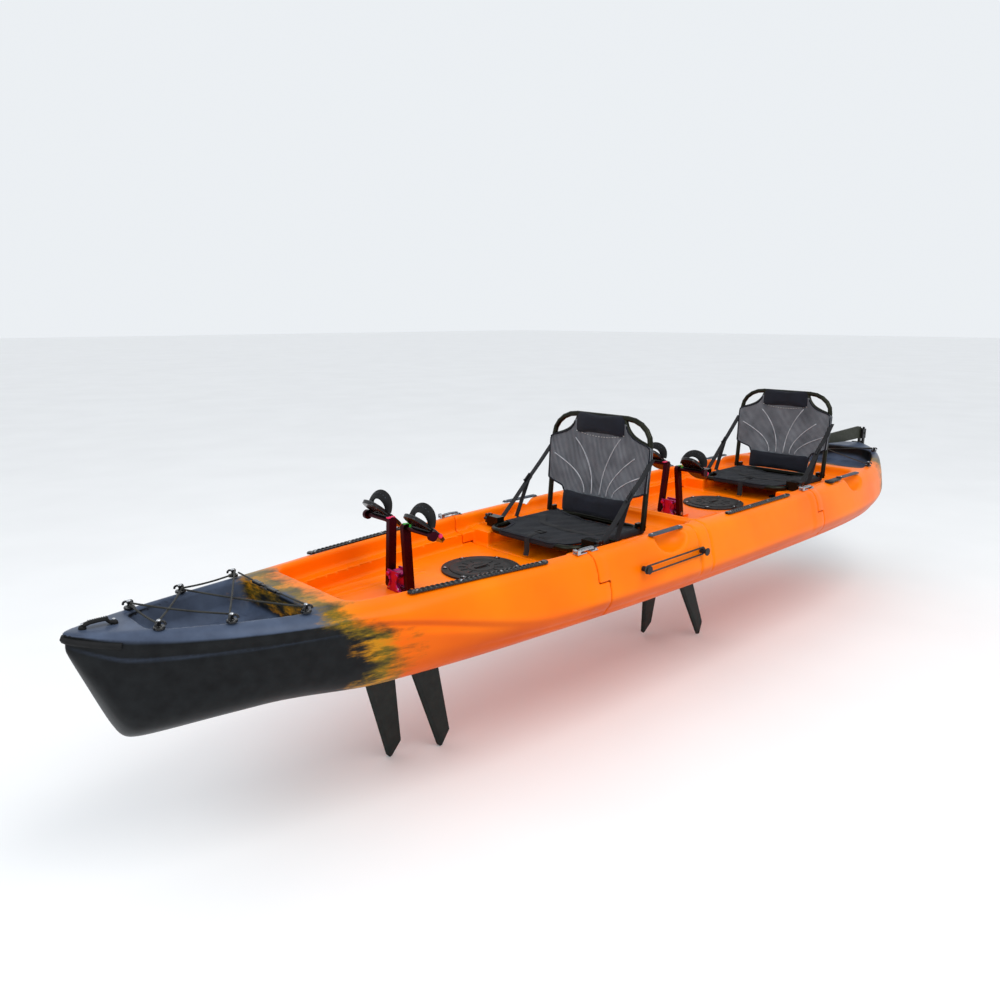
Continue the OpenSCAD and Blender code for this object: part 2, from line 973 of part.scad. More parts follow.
module rear_drive_base() {
    drive_base(rear_seam);
}

module rear_drive_frame() {
    drive_frame(rear_seam);
}

module rear_arm_port() {
    pedal_arm(rear_seam, 1, rear_phase);
}

module rear_arm_stbd() {
    pedal_arm(rear_seam, -1, -rear_phase);
}

module rear_pedal_port() {
    pedal(rear_seam, 1, rear_phase);
}

module rear_pedal_stbd() {
    pedal(rear_seam, -1, -rear_phase);
}

module rear_foot_strap_port() {
    foot_strap(rear_seam, 1, rear_phase);
}

module rear_foot_strap_stbd() {
    foot_strap(rear_seam, -1, -rear_phase);
}

module rear_fore_mast() {
    mast(rear_seam, fore_fin_x, -rear_swing);
}

module rear_aft_mast() {
    mast(rear_seam, -aft_fin_x, rear_swing);
}

module rear_fore_fin() {
    fin(rear_seam, fore_fin_x, -rear_swing);
}

module rear_aft_fin() {
    fin(rear_seam, -aft_fin_x, rear_swing);
}

rail_z = ledge_z + seat_fit + tube_radius;
seat_corner = 55;
clamp_x = 140;
clamp_out = 262;
knob_z = rail_z + 17;
hinge_z = rail_z + 22;
pin_radius = 4;
strap_lugs = [174, 262];

// The base loop lies flat, with its corners rounded
module seat_loop(seam) {
    x1 = seam - seat_front_x - seat_corner;
    x0 = seam - seat_front_x - seat_length + seat_corner;
    y = rail_y - seat_corner;
    for (side = [-1, 1])
        translate([x0, side * rail_y, rail_z])
            rotate([0, 90, 0])
                cylinder(r = tube_radius, h = x1 - x0);
    for (x = [x0 - seat_corner, x1 + seat_corner])
        translate([x, y, rail_z])
            rotate([90, 0, 0])
                cylinder(r = tube_radius, h = 2 * y);
    for (corner = [[x1, y, 0], [x0, y, 90], [x0, -y, 180], [x1, -y, 270]])
        translate([corner[0], corner[1], rail_z])
            rotate(corner[2])
                rotate_extrude(angle = 90)
                    translate([seat_corner, 0])
                        circle(r = tube_radius);
}

module seat_frame(seam) {
    color([0.15, 0.15, 0.12]) {
        seat_loop(seam);
        for (side = [-1, 1]) {
            translate([seam - clamp_x - 18, side > 0 ? rail_y : -clamp_out, rail_z - 7])
                cube([36, clamp_out - rail_y, 38]);
            translate([seam - clamp_x, side * (clamp_out - 2), knob_z])
                rotate([-side * 90, 0, 0])
                    cylinder(r = 5, h = 20);
            for (x = strap_lugs)
                translate([seam - x, side * (back_y + tube_radius - 1), rail_z + 4])
                    rotate([side * 90, 0, 0])
                        cylinder(r = 5, h = back_y + tube_radius - rail_y);
            translate([seam - hinge_x - 12, side > 0 ? rail_y - 5 : 5 - back_y + tube_radius, rail_z])
                cube([24, back_y - rail_y - tube_radius, hinge_z - rail_z + 10]);
            translate([seam - hinge_x, side * (rail_y - 4), hinge_z])
                rotate([-side * 90, 0, 0])
                    cylinder(r = pin_radius, h = back_y - rail_y + tube_radius + 4);
        }
    }
}

module star(radius, lobes) {
    circle(r = radius * 0.7);
    for (i = [0:lobes - 1])
        rotate(360 / lobes * i)
            translate([radius * 0.72, 0])
                circle(r = radius * 0.28);
}

module seat_knobs(seam) {
    color([0.06, 0.06, 0.06])
        for (side = [-1, 1])
            translate([seam - clamp_x, side * (clamp_out + cloth_fit), knob_z])
                rotate([-side * 90, 0, 0])
                    difference() {
                        linear_extrude(16)
                            star(20, 6);
                        translate([0, 0, -1])
                            cylinder(r = 5 + run_fit, h = 30);
                    }
}

module seat_sling(seam) {
    x1 = seam - seat_front_x - 12;
    x0 = seam - hinge_x + 30;
    half = rail_y - 12;
    bottom = rail_z + tube_radius + cloth_fit;
    color([0.14, 0.16, 0.19]) {
        translate([x0, -half, bottom])
            cube([x1 - x0, 2 * half, 8]);
        translate([x1 - 110, -18, bottom + 8])
            cube([40, 36, 3]);
    }
}

module back_pose(seam) {
    translate([seam - hinge_x, 0, hinge_z])
        rotate([0, -back_lean, 0])
            children();
}

back_rise = (back_top_z - hinge_z) / cos(back_lean) - tube_radius;
shoulder_rise = back_rise - 88;
back_tube = 10;

module back_frame(seam) {
    shoulder = 110;
    steps = 5;
    crown = [for (i = [0:steps]) let (a = 90 * i / steps) [
        0,
        back_y - shoulder + shoulder * cos(a),
        shoulder_rise + (back_rise - shoulder_rise) * sin(a)
    ]];
    half = concat([[0, back_y, -14], [0, back_y, shoulder_rise * 0.5]], crown);
    far = [for (i = [len(half) - 1:-1:0]) [0, -half[i][1], half[i][2]]];
    color([0.15, 0.15, 0.12])
        difference() {
            back_pose(seam)
                bar(concat(half, far), back_tube);
            translate([seam - hinge_x, hull_beam, hinge_z])
                rotate([90, 0, 0])
                    cylinder(r = pin_radius + run_fit, h = 2 * hull_beam);
        }
}

module back_panel(seam) {
    front = back_tube + cloth_fit;
    inset = 4;
    low = 34;
    color([0.3, 0.32, 0.35])
        back_pose(seam)
            translate([front, 0, 0])
                rotate([90, 0, 90])
                    linear_extrude(9)
                        polygon([
                            [-150, low], [150, low], [160, 82],
                            [back_y - inset, 150], [back_y - inset, shoulder_rise - 12],
                            [130, shoulder_rise + 6], [96, back_rise - 6],
                            [-96, back_rise - 6], [-130, shoulder_rise + 6],
                            [inset - back_y, shoulder_rise - 12], [inset - back_y, 150],
                            [-160, 82]
                        ]);
}

web_width = 22;
web_thick = 2.5;

// Flat web between two points in the plane beside the seat
module web(from, to) {
    hull()
        for (p = [from, to])
            translate(p)
                rotate([-90, 0, 0])
                    cylinder(d = web_width, h = web_thick, $fn = 16);
}

module seat_straps(seam) {
    y = back_y + back_tube + cloth_fit + 1;
    top = [seam - hinge_x - sin(back_lean) * shoulder_rise, y, hinge_z + shoulder_rise * cos(back_lean)];
    fore = [seam - strap_lugs[0], y, rail_z + 8];
    mid = [seam - strap_lugs[1], y, rail_z + 8];
    split = top + (fore - top) * 0.42;
    color([0.1, 0.11, 0.1])
        for (side = [0, 1])
            mirror([0, side, 0]) {
                web(top, fore);
                web(split, mid);
                translate(split + [-16, 0, -12])
                    cube([32, 5, 24]);
            }
}

module front_seat_frame() {
    seat_frame(front_seam);
}

module front_seat_sling() {
    seat_sling(front_seam);
}

module front_back_frame() {
    back_frame(front_seam);
}

module front_back_panel() {
    back_panel(front_seam);
}

module front_seat_straps() {
    seat_straps(front_seam);
}

module front_seat_knobs() {
    seat_knobs(front_seam);
}

module rear_seat_frame() {
    seat_frame(rear_seam);
}

module rear_seat_sling() {
    seat_sling(rear_seam);
}

module rear_back_frame() {
    back_frame(rear_seam);
}

module rear_back_panel() {
    back_panel(rear_seam);
}

module rear_seat_straps() {
    seat_straps(rear_seam);
}

module rear_seat_knobs() {
    seat_knobs(rear_seam);
}

head_x = stern_x - 52;
head_pin = 7;
sleeve_low = hull_depth - 50;
sleeve_high = hull_depth + 10;

module rudder_bracket() {
    color([0.2, 0.2, 0.2]) {
        translate([stern_x - 14, -22, sleeve_low - 20])
            cube([14, 44, sleeve_high - sleeve_low + 40]);
        for (z = [sleeve_low - 10, sleeve_high])
            translate([head_x, -14, z])
                cube([stern_x - head_x, 28, 10]);
        for (z = [sleeve_low - 10, sleeve_high])
            translate([head_x, 0, z])
                cylinder(r = 14, h = 10);
        translate([head_x, 0, sleeve_low - 10])
            cylinder(r = head_pin, h = sleeve_high - sleeve_low + 20);
    }
}

fork_gap = 11;

module rudder_head() {
    color([0.16, 0.16, 0.16])
        difference() {
            union() {
                translate([head_x, 0, sleeve_low + 0.5])
                    cylinder(r = 13, h = sleeve_high - sleeve_low - 1);
                translate([head_x - 34, -16, sleeve_low + 0.5])
                    cube([19, 32, blade_z - sleeve_low - 22]);
                translate([head_x - 20, -9, sleeve_low + 0.5])
                    cube([12, 18, sleeve_high - sleeve_low - 1]);
                for (y = [-16, fork_gap / 2])
                    translate([head_x - 44, y, blade_z - 30])
                        cube([40, 16 - fork_gap / 2, 54]);
                for (y = [-16, fork_gap / 2])
                    translate([head_x - 24, y, blade_z])
                        cube([8, 16 - fork_gap / 2, 36]);
            }
            translate([head_x, 0, sleeve_low - 5])
                cylinder(r = head_pin + run_fit, h = 200);
            translate([head_x - 60, -fork_gap / 2, blade_z - 46])
                cube([80, fork_gap, 120]);
            translate([head_x - 24, 20, blade_z])
                rotate([90, 0, 0])
                    cylinder(r = 5 + run_fit, h = 40);
        }
}

module rudder_blade() {
    color([0.3, 0.3, 0.3])
        translate([head_x - 24, 0, blade_z]) {
            rotate([90, 0, 0])
                translate([0, 0, -4])
                    linear_extrude(8)
                        polygon([
                            [-22, -16], [0, -26], [blade_length * 0.5, -26],
                            [blade_length - 12, -14], [blade_length, 4],
                            [blade_length - 18, blade_width - 34],
                            [60, blade_width - 26], [0, 26], [-22, 16]
                        ]);
            translate([0, 20, 0])
                rotate([90, 0, 0])
                    cylinder(r = 5, h = 40);
        }
}

lever_x = 215;
lever_length = 95;

module steering_lever() {
    x = rear_seam - lever_x;
    y = top_half(x) - 24;
    color([0.35, 0.37, 0.38])
        translate([x, y, hull_depth]) {
            cylinder(r = 20, h = 8);
            translate([-lever_length, -12, 1])
                cube([lever_length, 24, 8]);
            translate([-lever_length, 0, 1])
                cylinder(r = 12, h = 12);
        }
}

bow_hull();
mid_hull();
stern_hull();
latch_bases();
latch_levers_fore();
latch_levers_aft();
gear_tracks();
deck_hooks();
bow_handle();
side_grips();
deck_screws();
deck_bungees();
paddle_bungees();
paddle_buttons();
hatch_rings();
front_hatch_lid();
rear_hatch_lid();
drain_plug();
crank_shafts();
front_drive_base();
front_drive_frame();
front_arm_port();
front_arm_stbd();
front_pedal_port();
front_pedal_stbd();
front_foot_strap_port();
front_foot_strap_stbd();
front_fore_mast();
front_aft_mast();
front_fore_fin();
front_aft_fin();
rear_drive_base();
rear_drive_frame();
rear_arm_port();
rear_arm_stbd();
rear_pedal_port();
rear_pedal_stbd();
rear_foot_strap_port();
rear_foot_strap_stbd();
rear_fore_mast();
rear_aft_mast();
rear_fore_fin();
rear_aft_fin();
front_seat_frame();
front_seat_sling();
front_back_frame();
front_back_panel();
front_seat_straps();
front_seat_knobs();
rear_seat_frame();
rear_seat_sling();
rear_back_frame();
rear_back_panel();
rear_seat_straps();
rear_seat_knobs();
rudder_bracket();
rudder_head();
rudder_blade();
steering_lever();
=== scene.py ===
import math

import bmesh
import bpy
import numpy as np
from mathutils import Matrix, Vector


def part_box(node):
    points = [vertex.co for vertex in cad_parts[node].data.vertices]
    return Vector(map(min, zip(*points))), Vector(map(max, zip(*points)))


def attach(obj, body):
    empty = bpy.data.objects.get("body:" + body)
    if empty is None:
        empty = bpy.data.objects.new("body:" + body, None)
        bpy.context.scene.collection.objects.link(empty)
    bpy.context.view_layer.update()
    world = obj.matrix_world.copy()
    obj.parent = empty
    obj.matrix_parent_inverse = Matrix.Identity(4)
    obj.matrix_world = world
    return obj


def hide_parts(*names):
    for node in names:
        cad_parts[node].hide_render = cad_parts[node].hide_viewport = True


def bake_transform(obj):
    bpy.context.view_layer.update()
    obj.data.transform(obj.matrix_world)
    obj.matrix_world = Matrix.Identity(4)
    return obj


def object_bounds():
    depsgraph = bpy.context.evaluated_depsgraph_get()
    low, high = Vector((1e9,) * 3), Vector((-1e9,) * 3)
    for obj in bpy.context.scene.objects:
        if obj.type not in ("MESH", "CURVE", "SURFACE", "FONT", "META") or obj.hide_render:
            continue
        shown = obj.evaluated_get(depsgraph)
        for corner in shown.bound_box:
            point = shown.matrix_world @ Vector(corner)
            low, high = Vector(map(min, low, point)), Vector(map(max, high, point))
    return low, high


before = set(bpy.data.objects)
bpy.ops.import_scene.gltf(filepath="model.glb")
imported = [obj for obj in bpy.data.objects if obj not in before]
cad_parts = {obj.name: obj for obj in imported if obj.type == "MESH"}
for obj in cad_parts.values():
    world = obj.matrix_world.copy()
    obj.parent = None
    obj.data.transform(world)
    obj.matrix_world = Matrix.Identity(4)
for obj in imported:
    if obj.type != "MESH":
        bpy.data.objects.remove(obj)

CAD_BOX = [list(v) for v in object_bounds()]
MM = 0.001
LONG, WIDE, UP = Vector((1, 0, 0)), Vector((0, 1, 0)), Vector((0, 0, 1))

# ---------------------------------------------------------------- camera
CAM_PLACE = Vector((2.633, 1.935, 1.007))
CAM_YAW = math.radians(226.18)
CAM_DIP = math.radians(12.66)
CAM_FOCAL_PX = 815.4
IMAGE_PX = 1000.0

cam_data = bpy.data.cameras.new("camera")
cam_data.sensor_width = 36.0
cam_data.lens = CAM_FOCAL_PX * 36.0 / IMAGE_PX
cam_data.clip_start = 0.01
cam_data.clip_end = 200.0
camera = bpy.data.objects.new("camera", cam_data)
bpy.context.collection.objects.link(camera)
look = Vector((math.cos(CAM_YAW) * math.cos(CAM_DIP), math.sin(CAM_YAW) * math.cos(CAM_DIP), -math.sin(CAM_DIP)))
camera.location = CAM_PLACE
camera.rotation_mode = "QUATERNION"
camera.rotation_quaternion = look.to_track_quat("-Z", "Y")
bpy.context.scene.camera = camera

# ---------------------------------------------------------------- sizes read from the CAD
BOW_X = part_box("bow_hull")[1].x
STERN_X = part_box("stern_hull")[0].x
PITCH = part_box("front_drive_base")[0].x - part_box("rear_drive_base")[0].x
SEAMS = {"front": PITCH / 2, "rear": -PITCH / 2}
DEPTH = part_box("mid_hull")[1].z
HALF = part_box("mid_hull")[1].y
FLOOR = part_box("front_drive_frame")[1].z - 8 * MM
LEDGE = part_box("front_seat_frame")[0].z - 0.3 * MM
WIDEST_X = -0.6
SHEER = 30 * MM
RIM = 58 * MM


# ---------------------------------------------------------------- hull form
def bow_reach(x):
    return np.clip((x - WIDEST_X) / (BOW_X - WIDEST_X), 0, 1)


def stern_reach(x):
    return np.clip((WIDEST_X - x) / (WIDEST_X - STERN_X), 0, 1)


def half_beam(x):
    fore = np.maximum(0.008, HALF * np.maximum(1 - bow_reach(x) ** 3, 0) ** 0.72)
    aft = np.maximum(0.030, HALF * np.maximum(1 - stern_reach(x) ** 3, 0) ** 0.6)
    return np.where(x > WIDEST_X, fore, aft)


def top_half(x):
    return 0.9 * half_beam(x)


def end_run(x):
    return np.maximum(0, np.maximum((x - 1.4) / (BOW_X - 1.4), (-x - 1.4) / (-STERN_X - 1.4)))


def gunwale(x):
    return DEPTH + SHEER * np.minimum(end_run(x), 1.05) ** 2


def keel(x):
    fore = (x - BOW_X + 0.100) / 0.095
    fore = 0.5 * (fore + np.sqrt(fore * fore + 0.05))
    aft = np.maximum(0, STERN_X + 0.11 - x) / 0.11
    rise = (DEPTH - 0.025) * np.minimum(fore, 1.2) + (DEPTH - 0.06) * np.minimum(aft, 1.3) ** 1.2
    foot = 0.005 * ramp(x, 1.4, 1.8) * (1 - ramp(x, 2.05, 2.12))
    return 0.008 * np.minimum(1, end_run(x)) ** 2 * (x < 0) + rise - foot


def ramp(x, a, b):
    t = np.clip((x - a) / (b - a), 0, 1)
    return t * t * (3 - 2 * t)


def widest(x):
    return 0.45 + 0.42 * ramp(x, 0.85, 1.6)


def smax(a, b, r):
    h = np.maximum(r - np.abs(a - b), 0) / r
    return np.maximum(a, b) + h * h * r * 0.25


def outer_field(x, y, z):
    """Distance to the outside of the hull, with its chines softened."""
    b, k, g = half_beam(x), keel(x), gunwale(x)
    t, h, w = top_half(x), g - keel(x), widest(x)
    vee = 0.15 * ramp(x, 1.42, 1.75) + 0.10 * ramp(-x, 1.3, 1.9)
    zero = 0 * b
    side = [
        (zero, k - 0.001),
        (0.5 * b, k + 0.55 * vee * h),
        (0.86 * b, k + (0.1 + vee) * h),
        (0.975 * b, k + (0.6 * w + 0.3 * vee) * h),
        (b, k + w * h),
        (t + 0.35 * (b - t), k + (0.84 + 0.135 * w) * h),
        (t, k + 0.97 * h),
        (t - np.minimum(0.014, t / 3), k + h),
        (zero, k + h + 0.001),
    ]
    soft = [0.05, 0.05, 0.07, 0.05, 0.010, 0.02, 0.015, 0.02]
    thin = np.clip(b / 0.30, 0.06, 1)
    y = np.sqrt(y * y + 0.004**2)
    out = None
    for (a, c), r in zip(zip(side[:-1], side[1:]), soft):
        ny, nz = c[1] - a[1], -(c[0] - a[0])
        size = np.sqrt(ny * ny + nz * nz) + 1e-9
        d = ((y - a[0]) * ny + (z - a[1]) * nz) / size
        out = d if out is None else smax(out, d, r * thin)
    crease = z - (k + w * h)
    out = out + 0.006 * ramp(x, 0.9, 1.5) * np.exp(-((crease + 0.016) / 0.015) ** 2)
    for seam in SEAMS.values():
        out = out - 0.003 * (1 - ramp(np.abs(x - seam), 0.02, 0.06)) * ramp(z, 0.08, 0.13)
    for groove in (SEAMS["front"] - 0.535, SEAMS["front"] - 0.605):
        out = out + 0.005 * np.exp(-(((x - groove) / 0.006) ** 2)) * ramp(z, 0.09, 0.13)
    for low in (0.048, 0.085):
        out = out + 0.0025 * np.exp(-((z - k - low) / 0.009) ** 2) * ramp(-x, -1.3, -0.9)
    out = smax(out, x - BOW_X, 0.006)
    return smax(out, STERN_X - x, 0.02)


def cockpit_field(x, y, z, seam):
    """Distance to the edge of the space inside a cockpit; negative in the space."""
    floor = np.interp(x, [seam - 0.33, seam - 0.3, seam + 0.705, seam + 0.8], [LEDGE, FLOOR, FLOOR, LEDGE])
    rib = 0.005 * ramp(np.cos(2 * np.pi * y / 0.056), 0.1, 0.95) * ramp(y, 0.07, 0.09) * (1 - ramp(y, 0.18, 0.20))
    floor = floor + rib * ramp(x, seam + 0.28, seam + 0.34) * (1 - ramp(x, seam + 0.62, seam + 0.69))
    wide = top_half(x) - RIM
    d = smax(y - wide + 0 * z, floor - z, 0.03)
    foot = (x > seam - 0.06) & (x < seam + 0.75)
    d = np.where(foot, smax(d, -np.maximum(-(y - (wide - 0.04)), z - 0.224), 0.016), d)
    ledge = np.maximum(np.maximum(0.19 - y, z - LEDGE), np.maximum(seam - 0.34 - x, x - (seam - 0.06)))
    d = smax(d, -ledge, 0.012)
    d = smax(d, x - (seam + 0.8), 0.05)
    return smax(d, seam - 0.6 - x, 0.05)


def bow_well_field(x, y, z):
    aft, fore = SEAMS["front"] + 0.905, BOW_X - 0.165
    floor = np.interp(x, [aft, fore - 0.06, fore], [FLOOR + 0.01, FLOOR + 0.03, DEPTH - 0.02])
    d = smax(y - (top_half(x) - 0.034) + 0.42 * np.maximum(DEPTH - z, 0), floor - z, 0.03)
    d = smax(d, x - fore, 0.03)
    return smax(d, aft - x, 0.04)


def stern_well_field(x, y, z):
    fore, aft = SEAMS["rear"] - 0.665, STERN_X + 0.13
    d = smax(y - (top_half(x) - 0.042), FLOOR + 0.035 - z, 0.03)
    d = smax(d, x - fore, 0.06)
    return smax(d, aft - x, 0.06)


GRIP_BACK = {"front": 0.395, "rear": 0.440}


def hull_field(x, y, z, part):
    y = np.abs(y)
    d = outer_field(x, y, z)
    wells = {"bow": ["front"], "mid": ["front", "rear"], "stern": ["rear"]}[part]
    for name in wells:
        d = smax(d, -cockpit_field(x, y, z, SEAMS[name]), 0.016)
    if part == "bow":
        d = smax(d, -bow_well_field(x, y, z), 0.014)
    if part == "stern":
        d = smax(d, -stern_well_field(x, y, z), 0.014)
    if part != "bow":
        name = "front" if part == "mid" else "rear"
        cx = SEAMS[name] - GRIP_BACK[name]
        q = np.sqrt(((x - cx) / 0.083) ** 2 + ((y - top_half(cx) - 0.012) / 0.062) ** 2 + ((z - 0.266) / 0.05) ** 2)
        d = smax(d, -(q - 1) * 0.05, 0.012)
    if part != "stern":
        seam = SEAMS["front" if part == "bow" else "rear"]
        hole = np.sqrt((x - seam - 0.15) ** 2 + y * y) - 0.118
        d = np.maximum(d, -np.maximum(hole, 0.12 - z))
        slot = np.maximum(np.abs(x - seam - 0.557) - 0.133, y - 0.042 - 0.014 * (1 - ramp(z, 0.0, 0.05)))
        d = smax(d, -slot, 0.004)
    if part == "stern":
        plug = np.sqrt((x - SEAMS["rear"] + 0.17) ** 2 + (y - 0.12) ** 2) - 0.0115
        d = np.maximum(d, -np.maximum(plug, FLOOR - 0.02 - z))
    # the modules overlap in a step at each seam, the forward one underneath
    step_z, step, gap = FLOOR + 0.005, 0.05, 0.002
    for name in wells:
        s = SEAMS[name]
        if part == "bow" or (part == "mid" and name == "rear"):
            d = smax(d, np.maximum(s - step - x, np.minimum(s - x, z - step_z)), 0.006)
        else:
            d = smax(d, np.maximum(x - s + gap, np.minimum(x - s + step + gap, step_z + gap - z)), 0.006)
    return d


def surface_nets(field, lo, hi, cell):
    """Mesh of field = 0 inside a box, one vertex in each crossed cell, pulled onto the surface."""
    n = [int(math.ceil((b - a) / cell)) + 1 for a, b in zip(lo, hi)]
    axes = [(lo[i] + cell * np.arange(n[i])).astype(np.float64) for i in range(3)]
    values = np.empty(n, np.float32)
    y, z = axes[1][None, :, None], axes[2][None, None, :]
    for i in range(0, n[0], 40):
        values[i : i + 40] = field(axes[0][i : i + 40, None, None], y, z)
    inside = values < 0
    count = sum(
        inside[a : n[0] - 1 + a, b : n[1] - 1 + b, c : n[2] - 1 + c].astype(np.int8)
        for a in (0, 1)
        for b in (0, 1)
        for c in (0, 1)
    )
    active = (count > 0) & (count < 8)
    ids = np.full(active.shape, -1, np.int64)
    cells = np.argwhere(active)
    ids[active] = np.arange(len(cells))
    total, hits = np.zeros((len(cells), 3)), np.zeros(len(cells))
    corners = {
        (a, b, c): values[cells[:, 0] + a, cells[:, 1] + b, cells[:, 2] + c]
        for a in (0, 1)
        for b in (0, 1)
        for c in (0, 1)
    }
    for (a, b, c), v0 in corners.items():
        for axis in range(3):
            if (a, b, c)[axis]:
                continue
            end = [a, b, c]
            end[axis] = 1
            v1 = corners[tuple(end)]
            cross = (v0 < 0) != (v1 < 0)
            t = np.where(cross, v0 / np.where(cross, v0 - v1, 1), 0)
            point = np.tile(np.array([a, b, c], float), (len(cells), 1))
            point[:, axis] += t
            total[cross] += point[cross]
            hits[cross] += 1
    points = (cells + total / hits[:, None]) * cell + np.array([a[0] for a in axes])
    quads = []
    for axis in range(3):
        u, w = (axis + 1) % 3, (axis + 2) % 3
        pick0, pick1 = [slice(1, -1)] * 3, [slice(1, -1)] * 3
        pick0[axis], pick1[axis] = slice(0, -1), slice(1, None)
        a, b = inside[tuple(pick0)], inside[tuple(pick1)]
        for flip, mask in ((False, a & ~b), (True, ~a & b)):
            e = np.argwhere(mask)
            if not len(e):
                continue
            e = e + np.array([0 if i == axis else 1 for i in range(3)])
            ring = []
            for du, dw in ((-1, -1), (0, -1), (0, 0), (-1, 0)):
                q = e.copy()
                q[:, u] += du
                q[:, w] += dw
                ring.append(ids[q[:, 0], q[:, 1], q[:, 2]])
            ring = np.stack(ring[::-1] if flip else ring, 1)
            quads.append(ring)
    quads = np.concatenate(quads)
    quads = quads[(quads >= 0).all(1)]
    for _ in range(2):
        points, normal = settle(field, points, cell)
    return points, quads, normal


def settle(field, p, cell):
    """One Newton step onto the surface, and the outward direction there."""
    e = 0.0012
    f = field(p[:, 0], p[:, 1], p[:, 2])
    g = np.empty_like(p)
    for i in range(3):
        q, r = p.copy(), p.copy()
        q[:, i] += e
        r[:, i] -= e
        g[:, i] = (field(q[:, 0], q[:, 1], q[:, 2]) - field(r[:, 0], r[:, 1], r[:, 2])) / (2 * e)
    size = np.maximum((g * g).sum(1), 0.25)
    step = np.clip(-f / size, -cell * 0.6, cell * 0.6)
    normal = g / np.maximum(np.sqrt((g * g).sum(1)), 1e-6)[:, None]
    return p + g * step[:, None], normal


# ---------------------------------------------------------------- mesh helpers
def mesh(name, points, faces, material=None, smooth=True):
    data = bpy.data.meshes.new(name)
    faces = faces.tolist() if isinstance(faces, np.ndarray) else [tuple(f) for f in faces]
    data.from_pydata(np.asarray(points, float).tolist(), [], faces)
    data.update()
    if smooth:
        data.shade_smooth()
    obj = bpy.data.objects.new(name, data)
    bpy.context.collection.objects.link(obj)
    if material:
        data.materials.append(material)
    return obj


def soften(obj, width):
    """Rounds a piece's edges and keeps its flats flat."""
    bpy.context.view_layer.objects.active = obj
    bevel = obj.modifiers.new("round", "BEVEL")
    bevel.width = width
    bevel.segments = 2
    bevel.limit_method = "ANGLE"
    bevel.angle_limit = math.radians(30)
    bevel.harden_normals = True
    obj.data.shade_smooth()
    return obj


def box(name, centre, size, material, round_by=0.002, turn=None):
    x, y, z = (v / 2 for v in size)
    points = [(i, j, k) for i in (-x, x) for j in (-y, y) for k in (-z, z)]
    faces = [(0, 1, 3, 2), (4, 6, 7, 5), (0, 4, 5, 1), (2, 3, 7, 6), (0, 2, 6, 4), (1, 5, 7, 3)]
    place = Matrix.Translation(Vector(centre)) @ (turn.to_4x4() if turn else Matrix())
    obj = mesh(name, [place @ Vector(p) for p in points], faces, material)
    return soften(obj, min(round_by, x * 0.9, y * 0.9, z * 0.9))


def smooth_path(points, steps):
    """Catmull-Rom curve through the points."""
    p = [Vector(q) for q in points]
    n = len(p)
    out = []
    for i in range(n - 1):
        a, b, c, d = p[max(i - 1, 0)], p[i], p[i + 1], p[min(i + 2, n - 1)]
        for k in range(steps):
            t = k / steps
            out.append(
                0.5 * ((2 * b) + (c - a) * t + (2 * a - 5 * b + 4 * c - d) * t * t + (3 * b - a - 3 * c + d) * t**3)
            )
    out.append(p[-1])
    return out


def sweep(name, path, outline, material, closed=False, up=UP):
    """Sweeps a closed outline of (side, up) pairs along a path."""
    path = [Vector(p) for p in path]
    n, m = len(path), len(outline)
    points, faces = [], []
    side = None
    for i in range(n):
        a = path[(i - 1) % n] if closed or i else path[0]
        b = path[(i + 1) % n] if closed or i < n - 1 else path[-1]
        way = (b - a).normalized()
        ref = up(i / max(n - 1, 1)) if callable(up) else up
        if abs(way.dot(ref)) > 0.98 and side is not None:
            cross = side - way * side.dot(way)
        else:
            cross = way.cross(ref)
        if cross.length < 1e-6:
            cross = way.orthogonal()
        side = cross.normalized()
        over = side.cross(way)
        points += [path[i] + side * u + over * v for u, v in outline]
    for i in range(n if closed else n - 1):
        j = (i + 1) % n
        faces += [(i * m + k, i * m + (k + 1) % m, j * m + (k + 1) % m, j * m + k) for k in range(m)]
    if not closed:
        faces += [tuple(range(m))[::-1], tuple((n - 1) * m + k for k in range(m))]
    return mesh(name, points, faces, material)


def turned(k, n):
    """The cosine and sine of step k of n round a circle."""
    a = 2 * math.pi * k / n
    return math.cos(a), math.sin(a)


def tube(name, path, radius, material, closed=False, sides=14):
    circle = [(radius * c, radius * d) for c, d in (turned(k, sides) for k in range(sides))]
    obj = sweep(name, path, circle, material, closed)
    if not closed:
        ends(obj)
    return obj


def ends(obj):
    """Flat ends on a smooth-shaded sweep."""
    flags = [len(p.vertices) <= 4 for p in obj.data.polygons]
    obj.data.polygons.foreach_set("use_smooth", flags)


def strap(name, path, width, thick, material, up):
    w, t = width / 2, thick / 2
    half = [(-w, -t * 0.4), (-w * 0.94, -t), (w * 0.94, -t), (w, -t * 0.4)]
    outline = half + [(-a, -b) for a, b in half]
    obj = sweep(name, path, outline, material, up=up)
    ends(obj)
    return obj


def lathe(name, profile, centre, axis, material, sides):
    """Turns (radius, height) pairs about an axis through centre."""
    turn = Vector(axis).to_track_quat("Z", "Y")
    centre = Vector(centre)
    points, faces = [], []
    m = len(profile)
    for k in range(sides):
        c, d = turned(k, sides)
        points += [centre + turn @ Vector((r * c, r * d, h)) for r, h in profile]
    for k in range(sides):
        j = (k + 1) % sides
        faces += [(k * m + i, j * m + i, j * m + i + 1, k * m + i + 1) for i in range(m - 1)]
    obj = mesh(name, points, faces, material)
    weld(obj)
    return obj


def weld(obj, reach=1e-5, angle=35):
    bm = bmesh.new()
    bm.from_mesh(obj.data)
    bmesh.ops.remove_doubles(bm, verts=bm.verts, dist=reach)
    bmesh.ops.dissolve_degenerate(bm, edges=bm.edges, dist=reach)
    bmesh.ops.recalc_face_normals(bm, faces=bm.faces)
    bm.to_mesh(obj.data)
    bm.free()
    obj.data.update()
    obj.data.shade_smooth()
    obj.data.set_sharp_from_angle(angle=math.radians(angle))


